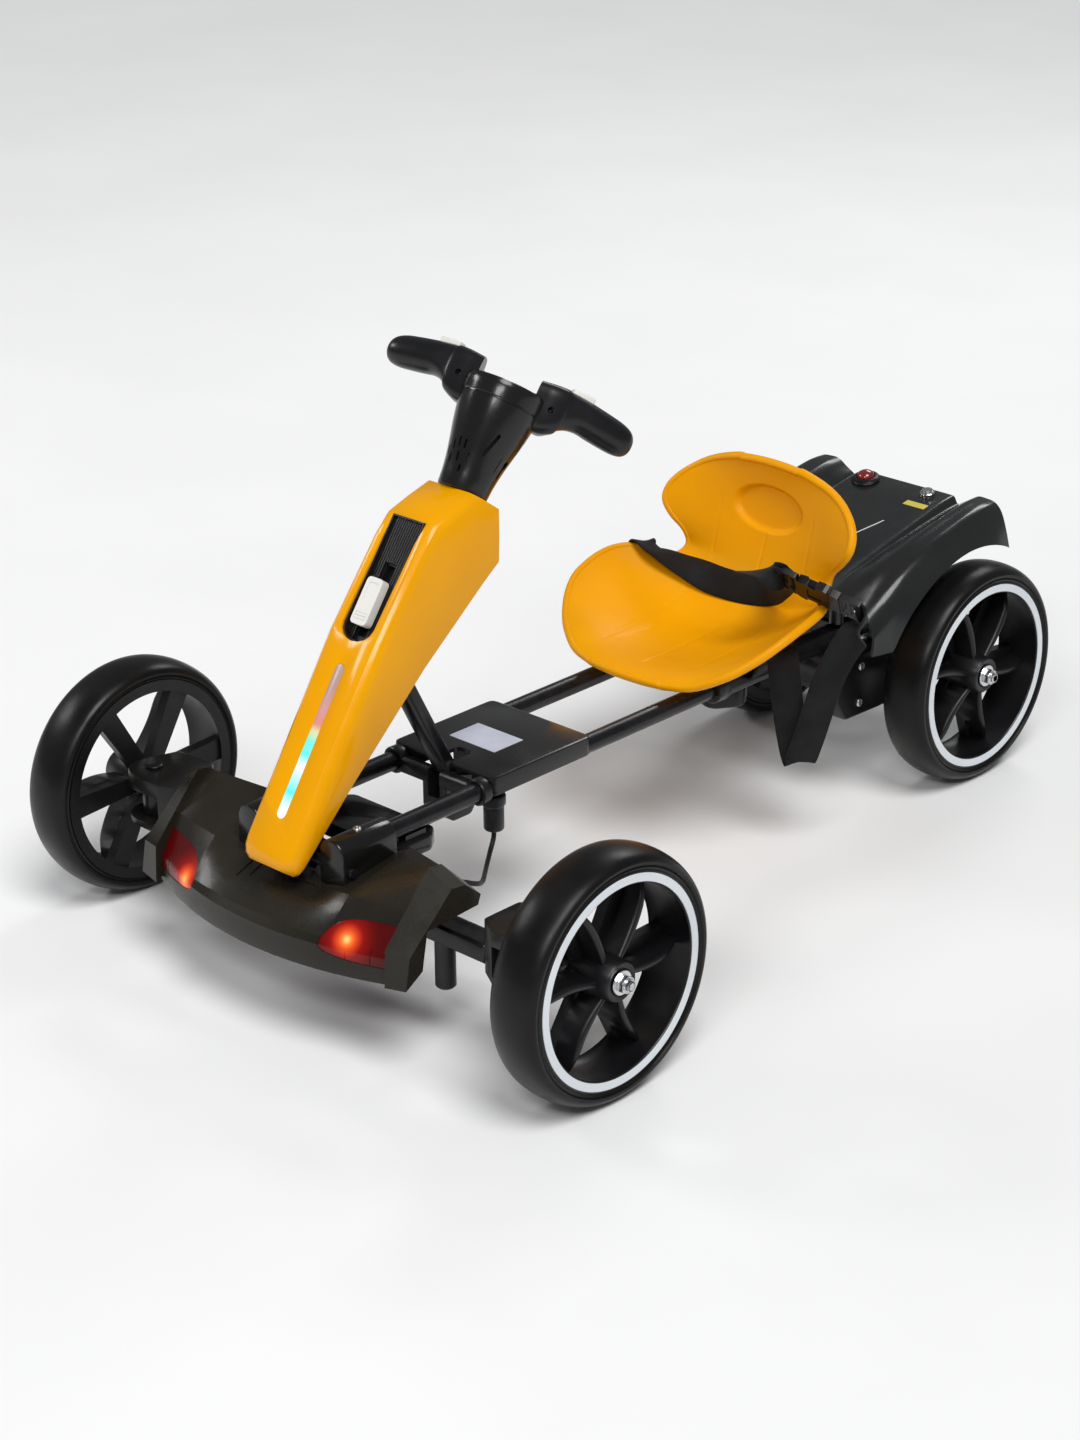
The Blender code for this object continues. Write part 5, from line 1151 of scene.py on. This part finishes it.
def build_belts():
    far = [
        ((-700, 5570, 580), (0, 1, 0)), ((-1000, 5570, 720), (0, 1, -0.1)),
        ((-1250, 5560, 1000), (0, 0.98, -0.2)), ((-1320, 5520, 1280), (0, 0.95, -0.33)),
        ((-1250, 5460, 1435), (0, 0.95, -0.33)), ((-1070, 5442, 1385), (0, 0.95, -0.3)),
        ((-852, 5535, 1290), (0, 0.98, 0.1)), ((-642, 5585, 1235), (0, 0.85, 0.45)),
        ((-397, 5600, 1190), (0, 0.55, 0.82)), ((-171, 5620, 1175), (0, 0.38, 0.92)),
        ((32, 5635, 1180), (0, 0.3, 0.94)), ((233, 5640, 1210), (-0.1, 0.28, 0.94)),
        ((440, 5560, 1290), (-0.25, -0.15, 0.9)), ((640, 5400, 1430), (-0.15, -0.5, 0.8)),
        ((840, 5230, 1580), (0.05, -0.62, 0.78)),
        (BUCKLE_A - ALONG * 0.004, WIDE), (BUCKLE_A + ALONG * 0.003, WIDE),
    ]
    piece("belt_far_webbing", strap(far), WEBBING, "rear_unit", ("belt_far",), 60)
    tail = [
        (buckle_place(0.006, 0.0, -0.003), WIDE), (buckle_place(-0.003, 0.0, -0.0058), WIDE),
        ((900, 5040, 1710), (-0.35, 0.2, 0.65)), ((780, 4985, 1720), (-0.55, 0.7, 0.05)),
        ((640, 4930, 1712), (-0.57, 0.74, -0.22)), ((500, 4880, 1700), (-0.57, 0.74, -0.22)),
    ]
    piece("belt_loose_end", strap(tail, 0.029, 0.02), WEBBING, "rear_unit", (), 60)
    across = (0.725, 0.689, 0.0)
    near = [
        (BUCKLE_B - ALONG * 0.004, WIDE), (BUCKLE_B + ALONG * 0.003, WIDE),
        ((1840, 5290, 1370), (0.45, -0.35, 0.7)), ((1755, 5240, 1220), (0.65, 0.35, 0.45)),
        ((1640, 5175, 980), (0.72, 0.64, 0.15)), ((1535, 5135, 710), across),
        ((1450, 5110, 400), across), ((1370, 5085, 100), across),
        ((1305, 5065, -120), across), ((1275, 5060, -195), across),
        ((1248, 5070, -222), across), ((1220, 5075, -195), across),
        ((1198, 5060, -100), across), ((1170, 5020, 150), across),
        ((1150, 4975, 461), across), ((1130, 4940, 780), across),
        ((1108, 4935, 950), across), ((1040, 4960, 1000), (0.5, 0.8, 0.1)),
        ((930, 5010, 910), (0.15, 1, 0)), ((820, 5050, 730), (0, 1, 0)),
        ((712, 5080, 590), (0, 1, 0)),
    ]
    piece("belt_near_webbing", strap(near), WEBBING, "rear_unit", ("belt_near",), 60)


build_belts()


def buckle_plate(outline, radius, half):
    """Rounded plate of the buckle, as thick above its middle as below."""
    return prism(rounded(outline, radius), -half, half, buckle_place)


def build_buckle():
    ladder = cut(buckle_plate(rect(-0.006, 0.012, -0.0185, 0.0185), 0.003, 0.003),
                 *[box(u0, u1, -0.015, 0.015, -0.01, 0.01, buckle_place)
                   for u0, u1 in ((-0.0035, 0.0015), (0.0045, 0.0092))])
    outline = tenths(((125, -150), (190, -172), (430, -192), (480, -180),
                      (480, 180), (430, 192), (190, 172), (125, 150)))
    sides = [box(0.0225, 0.0345, *sorted((sy * 0.0138, sy * 0.03)), -0.02, 0.02, buckle_place)
             for sy in (-1, 1)]
    middle = cut(buckle_plate(outline, 0.0018, 0.0048), *sides,
                 box(0.024, 0.04, -0.008, 0.008, 0.0038, 0.02, buckle_place))
    prong = tenths(((300, 130), (490, 130), (490, 165), (340, 178), (235, 158)))
    prongs = [buckle_plate([(u, sy * v) for u, v in prong], 0.001, 0.003) for sy in (-1, 1)]
    male = buckle_plate(tenths(((482, -160), (600, -150), (600, 150), (482, 160))), 0.0016, 0.0042)
    tail = cut(buckle_plate(rect(0.059, BUCKLE_LEN, -0.0175, 0.0175), 0.003, 0.003),
               *[box(u0, u1, -0.0145, 0.0145, -0.01, 0.01, buckle_place)
                 for u0, u1 in ((0.0625, 0.068), (0.072, 0.0775))])
    piece("side_release_buckle", joined(ladder, middle, male, tail, *prongs), SATIN, "rear_unit",
          ("buckle",), 35, 0.0006)


build_buckle()


def build_fasteners():
    bolts = [bolt((0.085, y, z), (1, 0, 0), 0.0044, 0.0026) for y, z in ((0.657, 0.0253), (0.655, -0.0156))]
    piece("gearbox_bolts", joined(*bolts), ZINC, "rear_unit", (), 40)
    screws = [bolt((sx * RAIL_HALF, -0.044, RAIL_H + 0.0158), (0, 0, 1), 0.004, 0.0024) for sx in (-1, 1)]
    piece("socket_screws", joined(*screws), ZINC, "front_frame", (), 40)
    wall = box(-0.03, 0.03, 0.1645, 0.1672, 0.024, 0.0656)
    piece("bracket_rear_wall", wall, PAINT, "front_frame", (), 30, 0.0006)
    label = slab(-0.035, 0.026, 0.165, 0.205, 0.001, RAIL_H + 0.014, RAIL_H + 0.0144)
    piece("bare_plate_label", label, LABEL, "front_frame")


build_fasteners()

# Camera, solved from the photograph, in kart coordinates; its height was solved above the floor
SOLVED_WHEEL_R = 0.12
CAMERA_SPOT = (1.99522, -1.82854, 1.44076 - SOLVED_WHEEL_R)
FOCAL_PIXELS = 3203.6158
PHOTO_HEIGHT = 1440
SENSOR = 36.0
LIGHTS = (
    ("key", (1.6, -2.6, 2.4), 1.1, 34),
    ("fill", (-2.6, -1.4, 2.0), 1.0, 18),
    ("back", (-0.8, 2.6, 2.4), 1.2, 20),
)


def camera():
    azimuth = radians(43.7484)
    elevation = radians(23.4805)
    roll = radians(-0.53584)
    forward = Vector((-sin(azimuth) * cos(elevation), cos(azimuth) * cos(elevation), -sin(elevation)))
    right = Vector((cos(azimuth), sin(azimuth), 0))
    up = right.cross(forward)
    across = right * cos(roll) + up * sin(roll)
    above = up * cos(roll) - right * sin(roll)
    data = bpy.data.cameras.new("camera")
    data.sensor_fit = "VERTICAL"
    data.sensor_height = SENSOR
    data.lens = SENSOR * FOCAL_PIXELS / PHOTO_HEIGHT
    obj = add("camera", data)
    spot = Vector(CAMERA_SPOT) + KART
    turn = Matrix((across, above, -forward)).transposed()
    obj.matrix_world = Matrix.Translation(spot) @ turn.to_4x4()
    bpy.context.scene.camera = obj


def lamp(name, kind, power, spot, target):
    data = bpy.data.lights.new(name, kind)
    data.energy = power
    obj = add(name, data)
    obj.location = spot
    obj.rotation_euler = (Vector(target) - obj.location).to_track_quat("-Z", "Y").to_euler()
    return data


def stage():
    bm = bmesh.new()
    bmesh.ops.create_grid(bm, x_segments=1, y_segments=1, size=40.0)
    floor = add("floor", mesh_of("floor", bm))
    made = Shader("floor")
    made.feed("Base Color", made.noise(3.0), (0.3, 0.86), (0.7, 0.89))
    made.put(Roughness=0.75, Specular_IOR_Level=0.2)
    floor.data.materials.append(made.material)
    world = bpy.data.worlds.new("studio")
    world.use_nodes = True
    world.node_tree.nodes["Background"].inputs["Color"].default_value = (0.95, 0.97, 1.0, 1)
    world.node_tree.nodes["Background"].inputs["Strength"].default_value = 0.2
    bpy.context.scene.world = world
    bpy.context.scene.view_settings.view_transform = "Standard"
    for name, spot, size, power in LIGHTS:
        data = lamp(name, "AREA", power, spot, (0, 0, 0.15))
        data.shape = "RECTANGLE"
        data.size = size
        data.size_y = size * 0.5
    lamp("sky", "SUN", 2.0, (1.5, -0.7, 2.9), (0, 0, 0)).angle = radians(28)


camera()
stage()
